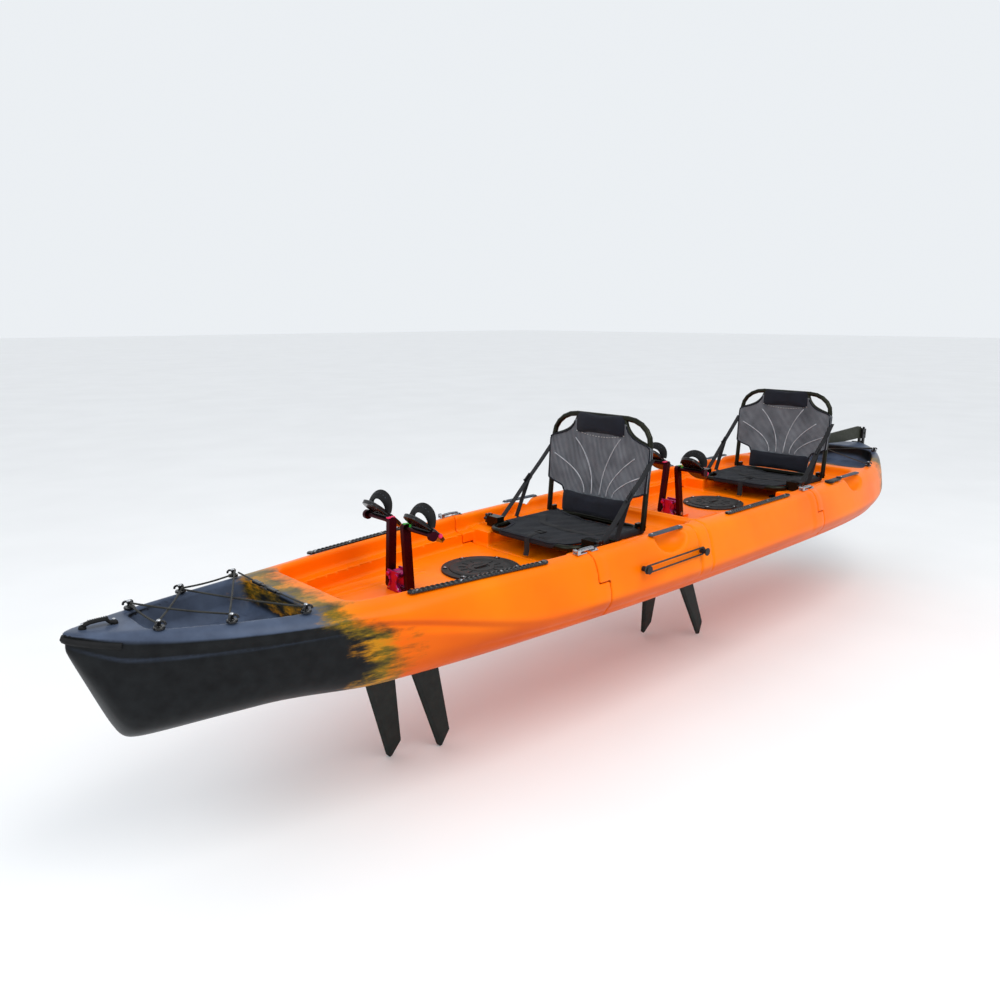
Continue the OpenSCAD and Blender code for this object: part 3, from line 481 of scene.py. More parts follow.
def prism(name, outline, frame_of, thick, material, round_by):
    """A flat outline in (u, v), pushed thick along w; frame_of gives (origin, u, v) and w = u x v."""
    origin, u, v = (Vector(q) for q in frame_of)
    w = u.cross(v)
    n = len(outline)
    points = [origin + u * a + v * b + w * h for h in (-thick / 2, thick / 2) for a, b in outline]
    faces = [tuple(range(n))[::-1], tuple(range(n, 2 * n))]
    faces += [(i, (i + 1) % n, n + (i + 1) % n, n + i) for i in range(n)]
    obj = mesh(name, points, faces, material)
    weld(obj)
    return soften(obj, round_by)


def bake(obj):
    """Applies a piece's modifiers."""
    bpy.context.view_layer.update()
    graph = bpy.context.evaluated_depsgraph_get()
    data = bpy.data.meshes.new_from_object(obj.evaluated_get(graph))
    obj.modifiers.clear()
    obj.data = data


def joined(name, objs):
    """Joins pieces that move together, with their modifiers applied."""
    bpy.context.view_layer.update()
    for o in objs:
        if o.modifiers:
            bake(o)
    with bpy.context.temp_override(active_object=objs[0], selected_editable_objects=objs, selected_objects=objs):
        bpy.ops.object.join()
    objs[0].name = name
    objs[0].data.name = name
    return objs[0]


def sheet_mesh(name, place, nu, nv, thick, material):
    """A sheet of cloth: place(u, v) gives its middle for u and v in 0..1."""
    e = 1e-3
    tops, bottoms = [], []
    for j in range(nv + 1):
        for i in range(nu + 1):
            u, v = i / nu, j / nv
            p = Vector(place(u, v))
            du = Vector(place(min(u + e, 1), v)) - Vector(place(max(u - e, 0), v))
            dv = Vector(place(u, min(v + e, 1))) - Vector(place(u, max(v - e, 0)))
            n = du.cross(dv)
            n = n.normalized() if n.length > 0 else Vector((0, 0, 1))
            tops.append(p + n * thick / 2)
            bottoms.append(p - n * thick / 2)
    s = nu + 1
    total = len(tops)
    faces = []
    for j in range(nv):
        for i in range(nu):
            a = j * s + i
            faces.append((a, a + 1, a + s + 1, a + s))
            faces.append((total + a, total + a + s, total + a + s + 1, total + a + 1))
    edge = list(range(s)) + [j * s + nu for j in range(1, nv + 1)]
    edge += [nv * s + i for i in range(nu - 1, -1, -1)] + [j * s for j in range(nv - 1, 0, -1)]
    for a, b in zip(edge, edge[1:] + edge[:1]):
        faces.append((a, total + a, total + b, b))
    return mesh(name, tops + bottoms, faces, material)


def put(obj, body, *nodes, finish=None):
    """Parents a finished piece to its body and hides the CAD parts it replaces."""
    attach(obj, body)
    if nodes:
        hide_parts(*nodes)
    return obj


# ---------------------------------------------------------------- materials
def rgb(r, g, b):
    """Colour from its shade on screen, 0..255."""
    shades = (v / 255 for v in (r, g, b))
    return tuple(v / 12.92 if v < 0.04045 else ((v + 0.055) / 1.055) ** 2.4 for v in shades) + (1,)


class Paint:
    def __init__(self, name, rough=0.5, metal=0.0, coat=0.0, sheen=0.0):
        self.material = bpy.data.materials.new(name)
        self.material.use_nodes = True
        self.tree = self.material.node_tree
        self.shader = self.tree.nodes["Principled BSDF"]
        for key, value in (
            ("Roughness", rough),
            ("Metallic", metal),
            ("Coat Weight", coat),
            ("Coat Roughness", 0.12),
            ("Sheen Weight", sheen),
            ("Specular IOR Level", 0.5 if metal else 0.24),
        ):
            self.shader.inputs[key].default_value = value
        self.place = self.tree.nodes.new("ShaderNodeTexCoord").outputs["Object"]
        self.height = None

    def link(self, a, b):
        self.tree.links.new(a, b)

    def node(self, kind, **values):
        made = self.tree.nodes.new(kind)
        for key, value in values.items():
            setattr(made, key, value)
        return made

    def texture(self, kind, stretch=(1, 1, 1), settings=(), **values):
        made = self.node(kind, **values)
        for key, value in settings:
            made.inputs[key].default_value = value
        m = self.node("ShaderNodeMapping")
        m.inputs["Scale"].default_value = stretch
        self.link(self.place, m.inputs["Vector"])
        self.link(m.outputs["Vector"], made.inputs["Vector"])
        return made.outputs["Fac"]

    def noise(self, scale, detail=4.0, rough=0.5, stretch=(1, 1, 1)):
        settings = (("Scale", scale), ("Detail", detail), ("Roughness", rough))
        return self.texture("ShaderNodeTexNoise", stretch, settings)

    def wave(self, scale, axis):
        settings = (("Scale", scale), ("Distortion", 0.0))
        return self.texture("ShaderNodeTexWave", (1, 1, 1), settings, bands_direction=axis)

    def math(self, kind, a, b=0.0, c=0.0):
        m = self.node("ShaderNodeMath", operation=kind)
        for slot, value in zip(m.inputs, (a, b, c)):
            if isinstance(value, (int, float)):
                slot.default_value = value
            else:
                self.link(value, slot)
        return m.outputs[0]

    def ramp(self, value, stops):
        r = self.node("ShaderNodeValToRGB")
        while len(r.color_ramp.elements) < len(stops):
            r.color_ramp.elements.new(0.5)
        for element, (at, colour) in zip(r.color_ramp.elements, stops):
            element.position = at
            element.color = colour
        self.link(value, r.inputs["Fac"])
        return r.outputs["Color"]

    def mix(self, fac, a, b):
        m = self.node("ShaderNodeMix", data_type="RGBA")
        for slot, value in ((0, fac), (6, a), (7, b)):
            self.link(value, m.inputs[slot])
        return m.outputs[2]

    def colour(self, value):
        self.link(value, self.shader.inputs["Base Color"])

    def rough(self, value, lo, hi):
        m = self.node("ShaderNodeMapRange")
        self.link(value, m.inputs["Value"])
        m.inputs["To Min"].default_value = lo
        m.inputs["To Max"].default_value = hi
        self.link(m.outputs["Result"], self.shader.inputs["Roughness"])

    def bump(self, value, strength, depth):
        b = self.node("ShaderNodeBump")
        b.inputs["Strength"].default_value = strength
        b.inputs["Distance"].default_value = depth
        self.link(value, b.inputs["Height"])
        if self.height is not None:
            self.link(self.height, b.inputs["Normal"])
        self.height = b.outputs["Normal"]
        self.link(self.height, self.shader.inputs["Normal"])


def plastic(name, colour, rough, grain=900, depth=0.0002, coat=0.0):
    p = Paint(name, rough, coat=coat)
    dark = tuple(c * 0.75 for c in colour[:3]) + (1,)
    light = tuple(min(1, c * 1.25) for c in colour[:3]) + (1,)
    p.colour(p.ramp(p.noise(35, 5), [(0.35, dark), (0.65, light)]))
    p.rough(p.noise(60, 3), rough - 0.08, rough + 0.1)
    p.bump(p.noise(grain, 2), 0.35, depth)
    return p.material


def metal(name, colour, rough):
    p = Paint(name, rough, 1.0)
    p.colour(p.ramp(p.noise(50, 5), [(0.3, tuple(c * 0.8 for c in colour[:3]) + (1,)), (0.7, colour)]))
    p.rough(p.noise(120, 4), rough - 0.1, rough + 0.15)
    p.bump(p.noise(400, 3), 0.2, 0.0001)
    return p.material


def fabric(name, colour, light, pitch=700, rough=0.85):
    p = Paint(name, rough, sheen=0.04)
    a, b, c = (p.wave(pitch, axis) for axis in "XYZ")
    weave = p.math("MULTIPLY", p.math("ADD", a, c), b)
    patch = p.noise(18, 5)
    tone = p.math("ADD", p.math("MULTIPLY", weave, 0.3), p.math("MULTIPLY", patch, 0.6))
    p.colour(p.ramp(tone, [(0.2, colour), (0.75, light)]))
    p.bump(weave, 0.5, 0.0004)
    p.bump(p.noise(70, 3), 0.25, 0.001)
    return p.material


def hull_material():
    p = Paint("hull_plastic", 0.35)
    p.shader.inputs["Specular IOR Level"].default_value = 0.12
    axes = p.node("ShaderNodeSeparateXYZ")
    p.link(p.place, axes.inputs[0])
    x, z = axes.outputs[0], axes.outputs[2]
    cloud = p.noise(5.5, 6, 0.6, (1.6, 1, 1.2))
    streak = p.noise(9, 7, 0.7, (0.7, 1, 3.2))
    drift = p.math("MULTIPLY_ADD", cloud, 0.18, -0.09)
    fine = p.math("MULTIPLY_ADD", streak, 0.24, -0.12)
    lift = p.node("ShaderNodeMapRange", interpolation_type="SMOOTHSTEP")
    p.link(z, lift.inputs["Value"])
    for key, value in (("From Min", 0.17), ("From Max", 0.25), ("To Min", 0.0), ("To Max", -0.12)):
        lift.inputs[key].default_value = value
    fore = p.math("ADD", p.math("ADD", x, lift.outputs[0]), p.math("ADD", drift, fine))
    orange = p.ramp(p.noise(3.0, 3), [(0.3, rgb(255, 108, 0)), (0.7, rgb(255, 128, 0))])
    olive = p.ramp(streak, [(0.40, rgb(196, 130, 18)), (0.5, rgb(120, 96, 22)), (0.62, rgb(64, 56, 26))])
    black = p.ramp(p.noise(30, 5), [(0.3, rgb(12, 13, 15)), (0.7, rgb(24, 26, 28))])
    # painted reflection: a slate-blue tint that stands in for sky light reflected on the black plastic
    painted_sky_reflection = p.ramp(p.noise(12, 4), [(0.3, rgb(60, 69, 87)), (0.7, rgb(82, 94, 116))])
    up = p.node("ShaderNodeSeparateXYZ")
    p.link(p.node("ShaderNodeNewGeometry").outputs["Normal"], up.inputs[0])

    def step(value, lo, hi):
        m = p.node("ShaderNodeMapRange", interpolation_type="SMOOTHSTEP")
        p.link(value, m.inputs["Value"])
        m.inputs["From Min"].default_value = lo
        m.inputs["From Max"].default_value = hi
        return m.outputs[0]

    aft = p.math("ADD", p.math("MULTIPLY", x, -1.0), p.math("ADD", drift, fine))
    stain = p.math("MAXIMUM", step(fore, 1.36, 1.47), step(aft, 1.52, 1.68))
    dark = p.math("MAXIMUM", step(fore, 1.47, 1.54), step(aft, 1.66, 1.82))
    # painted shade: orange faces turned downward are painted a deeper orange, standing in for the shade along the
    # lower hull
    shade = step(p.math("MULTIPLY", up.outputs[2], -1.0), -0.05, 0.45)
    orange = p.mix(shade, orange, p.ramp(p.noise(4, 4), [(0.3, rgb(206, 80, 0)), (0.7, rgb(228, 96, 0))]))
    # painted reflection: black faces turned upward are mixed towards the slate-blue sky tint
    black = p.mix(step(up.outputs[2], 0.10, 0.50), black, painted_sky_reflection)
    p.colour(p.mix(dark, p.mix(stain, orange, olive), black))
    p.rough(p.noise(14, 5), 0.26, 0.42)
    p.bump(p.noise(420, 2), 0.25, 0.0003)
    p.bump(p.noise(7, 3), 0.18, 0.006)
    return p.material


HULL = hull_material()
BLACK = plastic("black_plastic", rgb(22, 22, 24), 0.42)
GLOSS = plastic("gloss_black", rgb(14, 14, 16), 0.25, coat=0.3)
RUBBER = plastic("black_rubber", rgb(17, 17, 18), 0.7, 500, 0.0004)
FIN = plastic("fin_rubber", rgb(24, 30, 28), 0.5, 300, 0.0004)
CHARCOAL = plastic("charcoal_plastic", rgb(35, 34, 34), 0.55, 700, 0.0004)
GREY = plastic("grip_grey", rgb(64, 70, 80), 0.5)
PALE = plastic("pale_plastic", rgb(190, 180, 165), 0.5)
GREEN = plastic("green_mark", rgb(40, 160, 40), 0.5)
PINK = plastic("pink_cap", rgb(225, 40, 95), 0.4)
STEEL = metal("steel", rgb(190, 192, 196), 0.25)
DARK_STEEL = metal("dark_steel", rgb(70, 72, 76), 0.35)
PURPLE = metal("anodised_base", rgb(190, 44, 112), 0.38)
BURGUNDY = metal("anodised_arm", rgb(58, 16, 26), 0.34)
TUBE = metal("seat_tube", rgb(44, 45, 38), 0.32)
CORD = fabric("cord", rgb(14, 14, 16), rgb(70, 70, 66), 1400, 0.7)
WEB = fabric("webbing", rgb(18, 19, 21), rgb(42, 43, 46), 1100)
SLING = fabric("sling_cloth", rgb(13, 14, 18), rgb(36, 39, 46), 600)
NAVY = fabric("navy_cloth", rgb(10, 11, 18), rgb(26, 30, 42), 800)
THREAD = plastic("pale_thread", rgb(190, 190, 185), 0.8)
OLIVE = metal("rudder_olive", rgb(62, 64, 54), 0.5)


def mesh_fabric():
    p = Paint("mesh_cloth", 0.75, sheen=0.1)
    ribs = p.wave(52, "Y")
    weave = p.wave(420, "Z")
    tone = p.math("ADD", p.math("MULTIPLY", ribs, 0.55), p.math("MULTIPLY", p.noise(12, 4), 0.55))
    p.colour(p.ramp(tone, [(0.2, rgb(30, 32, 37)), (0.5, rgb(72, 76, 82)), (0.9, rgb(142, 147, 154))]))
    p.bump(ribs, 0.6, 0.0016)
    p.bump(weave, 0.4, 0.0005)
    return p.material


MESH = mesh_fabric()
PIPING = plastic("pale_piping", rgb(168, 171, 176), 0.6)


# ---------------------------------------------------------------- floor and light
pale = Paint("floor_pale", 0.9)
pale.colour(pale.ramp(pale.noise(1.5, 2), [(0.3, (0.90, 0.90, 0.90, 1)), (0.7, (0.93, 0.93, 0.93, 1))]))
corners = [(60 * i, 60 * j, CAD_BOX[0][2]) for i, j in ((-1, -1), (1, -1), (1, 1), (-1, 1))]
ground = mesh("floor", corners, [(0, 1, 2, 3)], pale.material)

world = bpy.data.worlds.new("studio")
world.use_nodes = True
bpy.context.scene.world = world
world.node_tree.nodes["Background"].inputs["Color"].default_value = (0.93, 0.965, 1.0, 1)
world.node_tree.nodes["Background"].inputs["Strength"].default_value = 0.9


def area_light(name, place, target, size, power, colour=(1, 1, 1)):
    data = bpy.data.lights.new(name, "AREA")
    data.size = size
    data.energy = power
    data.color = colour
    obj = bpy.data.objects.new(name, data)
    bpy.context.collection.objects.link(obj)
    obj.location = place
    obj.rotation_euler = (Vector(target) - Vector(place)).to_track_quat("-Z", "Y").to_euler()
    return obj


area_light("key", (0.5, 2.6, 4.2), (0.2, 0, 0.2), 2.6, 85, (1.0, 0.98, 0.95))
area_light("fill", (5.0, 0.5, 3.0), (0.8, 0, 0.2), 3.0, 60, (0.9, 0.95, 1.0))
bpy.context.scene.view_settings.view_transform = "Standard"
bpy.context.scene.view_settings.look = "None"

# ---------------------------------------------------------------- hull modules
CELL = 0.0072
spans = {
    "bow": (SEAMS["front"] - 0.07, BOW_X + 0.01),
    "mid": (SEAMS["rear"] - 0.07, SEAMS["front"] + 0.01),
    "stern": (STERN_X - 0.01, SEAMS["rear"] + 0.01),
}
for part, (x0, x1) in spans.items():
    half = HALF + 0.012
    shape = surface_nets(
        lambda x, y, z, part=part: hull_field(x, y, z, part),
        (x0, -half, -0.028),
        (x1, half, DEPTH + SHEER + 0.02),
        CELL,
    )
    shell = mesh(part + "_shell", shape[0], shape[1], HULL)
    shell.data.normals_split_custom_set_from_vertices([tuple(v) for v in shape[2]])
    put(shell, "hull", part + "_hull", finish="hull_orange")

# ---------------------------------------------------------------- CAD pieces that keep their shape
FINISHES = {
    "drive_base": PURPLE,
    "drive_frame": HULL,
    "arm_": BURGUNDY,
    "pedal_": GLOSS,
    "_fin": FIN,
    "mast": DARK_STEEL,
    "seat_frame": TUBE,
    "back_frame": TUBE,
    "latch_": STEEL,
    "hatch_": CHARCOAL,
    "side_grips": GREY,
    "rudder_blade": OLIVE,
    "deck_screws": STEEL,
    "shafts": STEEL,
    "knobs": GLOSS,
    "bow_handle": RUBBER,
    "drain_plug": RUBBER,
    "bungees": CORD,
    "straps": WEB,
    "sling": SLING,
    "panel": SLING,
}
for name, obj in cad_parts.items():
    obj.data.materials.clear()
    obj.data.materials.append(next((paint for key, paint in FINISHES.items() if key in name), BLACK))


# ---------------------------------------------------------------- seats
RAIL_Y = 0.206
TUBE_R = 0.011


def seat(p):
    s = SEAMS[p]
    base_lo, base_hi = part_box(p + "_seat_frame")
    back_lo, back_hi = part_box(p + "_back_frame")
    rail_z = base_lo.z + TUBE_R
    front_x = s - 0.075
    hinge = Vector((s - 0.436, 0, rail_z + 0.022))
    up = Vector((-math.sin(math.radians(5)), 0, math.cos(math.radians(5))))
    fore = Vector((up.z, 0, -up.x))
    rise = (back_hi.z - 0.010 - hinge.z) / up.z
    back = p + "_back"

    # sling: dips between the rails, wraps round them and round the front tube
    def cross(t):
        a = abs(t)
        side = 1 if t > 0 else -1
        if a < 0.84:
            k = a / 0.84
            return side * k * RAIL_Y, rail_z + 0.0128 - 0.022 * (1 - k * k) ** 0.8
        turn = math.radians(205) * (a - 0.84) / 0.16
        return side * (RAIL_Y + 0.0128 * math.sin(turn)), rail_z + 0.0128 * math.cos(turn)

    def cloth(u, v):
        t = 2 * u - 1
        y, z = cross(t)
        edge = min(1, max(0, (abs(t) - 0.50) / 0.26))
        edge = edge * edge * (3 - 2 * edge)
        rear = s - 0.460
        run = (front_x - rear) + 0.030 * (1 - edge) - 0.098 * edge
        d = run * v
        flat = front_x - rear
        wrinkle = 0.0022 * math.sin(19 * t + 7 * v) * math.sin(13 * v + 5 * t) * (1 if abs(t) < 0.8 else 0.2)
        if d <= flat:
            front_pull = max(0, (d - flat + 0.06) / 0.06)
            z = z + (rail_z + 0.0128 - z) * front_pull**2 * (1 if abs(t) < 0.84 else 0)
            return (rear + d, y, z + wrinkle)
        turn = min((d - flat) / 0.0128, math.radians(150))
        return (front_x + 0.0128 * math.sin(turn), y, rail_z + 0.0128 * math.cos(turn))

    sling = sheet_mesh(p + "_sling", cloth, 72, 56, 0.0026, SLING)
    put(sling, "hull", p + "_seat_sling", finish="sling_fabric")
    hems = []
    for v in (0.03, 0.955):
        line = [Vector(cloth(0.10 + 0.80 * i / 40, v)) + UP * 0.002 for i in range(41)]
        hems.append(strap(p + "_hem", line, 0.012, 0.0016, NAVY, UP))
    line = [Vector(cloth(0.13 + 0.74 * i / 40, 0.42)) + UP * 0.0022 for i in range(41)]
    hems.append(strap(p + "_cross_band", line, 0.030, 0.0018, WEB, UP))
    put(joined(p + "_sling_hems", hems), "hull", finish="seat_webbing")

    # hanging strap with its buckle at the front of the sling
    y0 = 0.012
    path = [
        (-0.075, 0, 0.0165),
        (-0.020, 0, 0.0172),
        (0.012, 0, 0.010),
        (0.018, 0.001, -0.012),
        (0.020, 0.002, -0.036),
        (0.026, 0.003, FLOOR + 0.010 - rail_z),
    ]
    start = Vector((front_x, y0, rail_z))
    drop = smooth_path([start + Vector(q) for q in path], 6)
    lace = [strap(p + "_lace", drop, 0.024, 0.002, WEB, Vector((1, 0, 0.6)).normalized())]
    for dx in (-0.064, -0.040):
        lace.append(box(p + "_buckle", start + Vector((dx, 0, 0.0185)), (0.006, 0.034, 0.006), BLACK, 0.002))
    for dy in (-0.015, 0.015):
        lace.append(box(p + "_buckle", start + Vector((-0.052, dy, 0.0185)), (0.028, 0.005, 0.006), BLACK, 0.002))
    put(joined(p + "_front_strap", lace), "hull", finish="seat_webbing")

    # back: handle arcs, mesh, head pad, lumbar pad, piping
    def at(y, r, f=0.0):
        return hinge + up * r + fore * f + Vector((0, y, 0))

    tubes = []
    for side in (-1, 1):
        bow = [(0.112, 0.004), (0.124, 0.034), (0.148, 0.060), (0.178, 0.076), (0.206, 0.086), (0.228, 0.093)]
        bow = [at(side * y, rise - down) for y, down in bow]
        tubes.append(tube(p + "_handle_arc", smooth_path(bow, 5), 0.0085, TUBE, sides=14))
    put(joined(p + "_handle_arcs", tubes), back, finish="seat_tube")

    # half widths of the mesh at heights up the back
    rs = [0.006, 0.075, 0.098, 0.112, 0.124, 0.20, 0.262, 0.290, 0.298, 0.307, 0.320, 0.338, 0.368]
    rs = [r * rise / 0.39 for r in rs]
    ws = [0.152, 0.158, 0.170, 0.214, 0.240, 0.243, 0.243, 0.243, 0.228, 0.192, 0.160, 0.138, 0.122]

    def panel(u, v, out=0.0):
        r = rs[0] + (rs[-1] - rs[0]) * v
        w = float(np.interp(r, rs, ws))
        y = (2 * u - 1) * w
        k = min(1, abs(y) / 0.23)
        dish = -0.020 * (1 - k * k) * (0.35 + 0.65 * math.sin(math.pi * min(1, v * 0.95 + 0.03)))
        wrap = 0.0125 * math.sqrt(max(0, 1 - (max(0, abs(y) - 0.23) / 0.0131) ** 2))
        ripple = 0.0014 * math.sin(y * 60 + 5 * v) * math.sin(11 * v)
        return at(y, r, wrap + dish + ripple + out)

    mesh_back = sheet_mesh(p + "_mesh_back", panel, 64, 72, 0.0028, MESH)
    put(mesh_back, back, p + "_back_panel", finish="mesh_fabric")

    # lines of piping fan out from the foot of the mesh
    piping = []
    fans = [
        (-0.060, -0.212, 0.60, 2.0),
        (-0.024, -0.118, 0.80, 2.2),
        (0.016, 0.098, 0.84, 2.2),
        (0.048, 0.172, 0.66, 1.9),
        (0.078, 0.225, 0.50, 1.8),
    ]
    for y0, y1, top_v, bend in fans:
        line = []
        for i in range(25):
            t = i / 24
            v = 0.215 + (top_v - 0.215) * t
            y = y0 + (y1 - y0) * t**bend
            r = rs[0] + (rs[-1] - rs[0]) * v
            w = float(np.interp(r, rs, ws))
            u = 0.5 + 0.5 * max(-0.97, min(0.97, y / w))
            line.append(panel(u, v, 0.0026))
        piping.append(tube(p + "_pipe", line, 0.0021, PIPING, sides=8))
    for edge_u in (0.012, 0.988):
        line = [panel(edge_u, 0.12 + 0.86 * i / 60, 0.0018) for i in range(61)]
        piping.append(tube(p + "_edge", line, 0.0032, NAVY, sides=8))
    put(joined(p + "_piping", piping), back, finish="seat_webbing")

    # white stitches under the head pad
    stitches = []
    for i in range(18):
        y = -0.112 + 0.224 * i / 17
        r = rise - 0.079 + 0.014 * (y / 0.112) ** 2
        v = (r - rs[0]) / (rs[-1] - rs[0])
        w = float(np.interp(r, rs, ws))
        a = panel(0.5 + 0.5 * (y - 0.0028) / w, v, 0.003)
        b = panel(0.5 + 0.5 * (y + 0.0028) / w, v, 0.003)
        stitches.append(tube(p + "_stitch", [a, (a + b) / 2 + fore * 0.0006, b], 0.0013, THREAD, sides=6))
    put(joined(p + "_stitches", stitches), back, finish="seat_webbing")

    def pad(name, wide, r0, r1, f0, f1):
        """Cushion: a rounded box drawn in at its corners, then filled out."""
        n, count = 22, 26
        pts, faces = [], []
        for i in range(count):
            ca, sa = (math.copysign(abs(q) ** 0.62, q) for q in turned(i, count))
            for j in range(n + 1):
                t = -1 + 2 * j / n
                fade = (1 - abs(t) ** 6) ** 0.5 if abs(t) < 1 else 0.0
                fade = max(fade, 0.18)
                r = (r0 + r1) / 2 + (r1 - r0) / 2 * sa * (0.90 + 0.10 * fade)
                f = (f0 + f1) / 2 + (f1 - f0) / 2 * ca * fade
                pts.append(at(wide * t, r, f))
        for i in range(count):
            k = (i + 1) % count
            for j in range(n):
                faces.append((i * (n + 1) + j, i * (n + 1) + j + 1, k * (n + 1) + j + 1, k * (n + 1) + j))
        faces.append(tuple(i * (n + 1) for i in range(count)))
        faces.append(tuple(i * (n + 1) + n for i in range(count))[::-1])
        obj = mesh(name, pts, faces, NAVY)
        weld(obj, 1e-5, 180)
        puffed(obj, 0.006)
        return obj

    head = pad(p + "_head_pad", 0.122, rise - 0.072, rise + 0.0125, -0.016, 0.0165)
    put(head, back, finish="sling_fabric")
    lumbar = pad(p + "_lumbar_pad", 0.158, -0.006, 0.084, -0.006, 0.026)
    put(lumbar, back, finish="sling_fabric")

    # side straps from the shoulders to the rails
    for side in (-1, 1):
        y = side * 0.2445
        end = "port" if side > 0 else "stbd"
        top = at(0, rise - 0.135) + Vector((0, y, 0))
        low_fore = Vector((s - 0.174, y, rail_z + 0.006))
        low_mid = Vector((s - 0.262, y, rail_z + 0.006))
        split = top + (low_fore - top) * 0.45
        sag = Vector((0, side * 0.002, -0.004))
        long_strand = smooth_path([top, (top + split) / 2 + sag, split, (split + low_fore) / 2 + sag, low_fore], 8)
        short_strand = smooth_path([split, (split + low_mid) / 2, low_mid], 8)
        lean = Matrix.Rotation(math.radians(42), 3, "Y")
        whole = [
            strap("w", long_strand, 0.022, 0.0022, WEB, Vector((0.7, 0, 0.7))),
            strap("w", short_strand, 0.020, 0.0022, WEB, Vector((1, 0, 0.1)).normalized()),
            box("w", split + Vector((0, side * 0.002, 0)), (0.032, 0.0055, 0.026), BLACK, 0.0015, lean),
            box("w", split + Vector((0.014, side * 0.0035, -0.014)), (0.007, 0.006, 0.030), DARK_STEEL, 0.0015, lean),
        ]
        web = joined(p + "_strap_" + end, whole)
        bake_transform(web)
        if side < 0:
            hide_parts(p + "_seat_straps")

    # chrome caps on the star knobs
    caps = []
    lo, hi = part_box(p + "_seat_knobs")
    mid = (lo + hi) / 2
    for side in (-1, 1):
        place = (mid.x, side * (hi.y - 0.0012), mid.z)
        profile = [(0, 0.0022), (0.004, 0.002), (0.0068, 0.001), (0.0075, -0.004), (0, -0.004)]
        caps.append(lathe(p + "_cap", profile, place, (0, side, 0), STEEL, 24))
    put(joined(p + "_knob_caps", caps), p + "_knobs", finish="screw_steel")


def puffed(obj, reach):
    """Lets a pad swell a little with cloth pressure, and keeps the result in its mesh."""
    remesh = obj.modifiers.new("remesh", "REMESH")
    remesh.mode = "VOXEL"
    remesh.voxel_size = 0.006
    bake(obj)
    before = [v.co.copy() for v in obj.data.vertices]
    cloth = obj.modifiers.new("cloth", "CLOTH")
    cloth.settings.use_pressure = True
    cloth.settings.uniform_pressure_force = 4
    cloth.settings.effector_weights.gravity = 0
    cloth.settings.tension_stiffness = 15
    scene = bpy.context.scene
    scene.frame_start, scene.frame_end = 1, 20
    for number in range(1, 21):
        scene.frame_set(number)
        bpy.context.view_layer.update()
    bake(obj)
    for vert, was in zip(obj.data.vertices, before):
        move = vert.co - was
        if move.length > reach:
            vert.co = was + move.normalized() * reach
    bpy.context.scene.frame_set(1)
    smooth = obj.modifiers.new("even", "SMOOTH")
    smooth.factor = 0.5
    smooth.iterations = 2
    sub = obj.modifiers.new("subdivide", "SUBSURF")
    sub.levels = sub.render_levels = 1
    bake(obj)
    obj.data.shade_smooth()


for p in SEAMS:
    seat(p)


# ---------------------------------------------------------------- deck fittings
def deck(x, inset, lift=0.0, side=1):
    """A point on the deck rim, inset from its edge."""
    x = float(x)
    return Vector((x, side * (float(top_half(x)) - inset), float(gunwale(x)) + lift))


def skin(name, rows, material, smooth, reach, angle):
    """A closed bar through rows of points, one row for each section."""
    m, n = len(rows[0]), len(rows) - 1
    faces = []
    for i in range(n):
        faces += [(i * m + k, i * m + k + 1, (i + 1) * m + k + 1, (i + 1) * m + k) for k in range(m - 1)]
        faces.append((i * m + m - 1, i * m, (i + 1) * m, (i + 1) * m + m - 1))
    faces += [tuple(range(m))[::-1], tuple(n * m + k for k in range(m))]
    obj = mesh(name, [q for row in rows for q in row], faces, material, smooth)
    weld(obj, reach, angle)
    return obj


def gear_tracks():
    parts = []
    right = [(0.0115, 0.0), (0.0115, 0.0046), (0.0055, 0.0068), (0.0042, 0.0036)]
    profile = [(-y, z) for y, z in right] + right[::-1]
    bolt = [(0, 0.0022), (0.0035, 0.002), (0.0042, 0), (0, 0)]
    cap = [(0, 0.0068), (0.0095, 0.0064), (0.0115, 0.004), (0.0115, 0), (0, 0)]
    for s in SEAMS.values():
        for side in (-1, 1):
            a, b = (deck(s + run, 0.026, side=side) for run in (0.180, 0.640))
            a.z = b.z = DEPTH
            way = (b - a).normalized()
            across = Vector((-way.y, way.x, 0))
            n = int((b - a).length / 0.004)
            rows = []
            for i in range(n + 1):
                c = a + (b - a) * (i / n)
                tall, wide = (1.0, 1.0) if (i // 2) % 2 else (0.62, 1.25)
                rows.append(
                    [
                        c + across * (y * (1.0 if abs(y) > 0.005 else wide)) + UP * (z * (tall if z > 0.004 else 1))
                        for y, z in profile
                    ]
                )
            parts.append(skin("track", rows, GLOSS, False, 1e-6, 20))
            for t in (0.04, 0.35, 0.65, 0.96):
                parts.append(lathe("bolt", bolt, a + (b - a) * t + UP * 0.0036, UP, STEEL, 16))
            for c in (a, b):
                parts.append(lathe("cap", cap, c, UP, GLOSS, 24))
    put(joined("toothed_tracks", parts), "hull", "gear_tracks", finish="track_black")


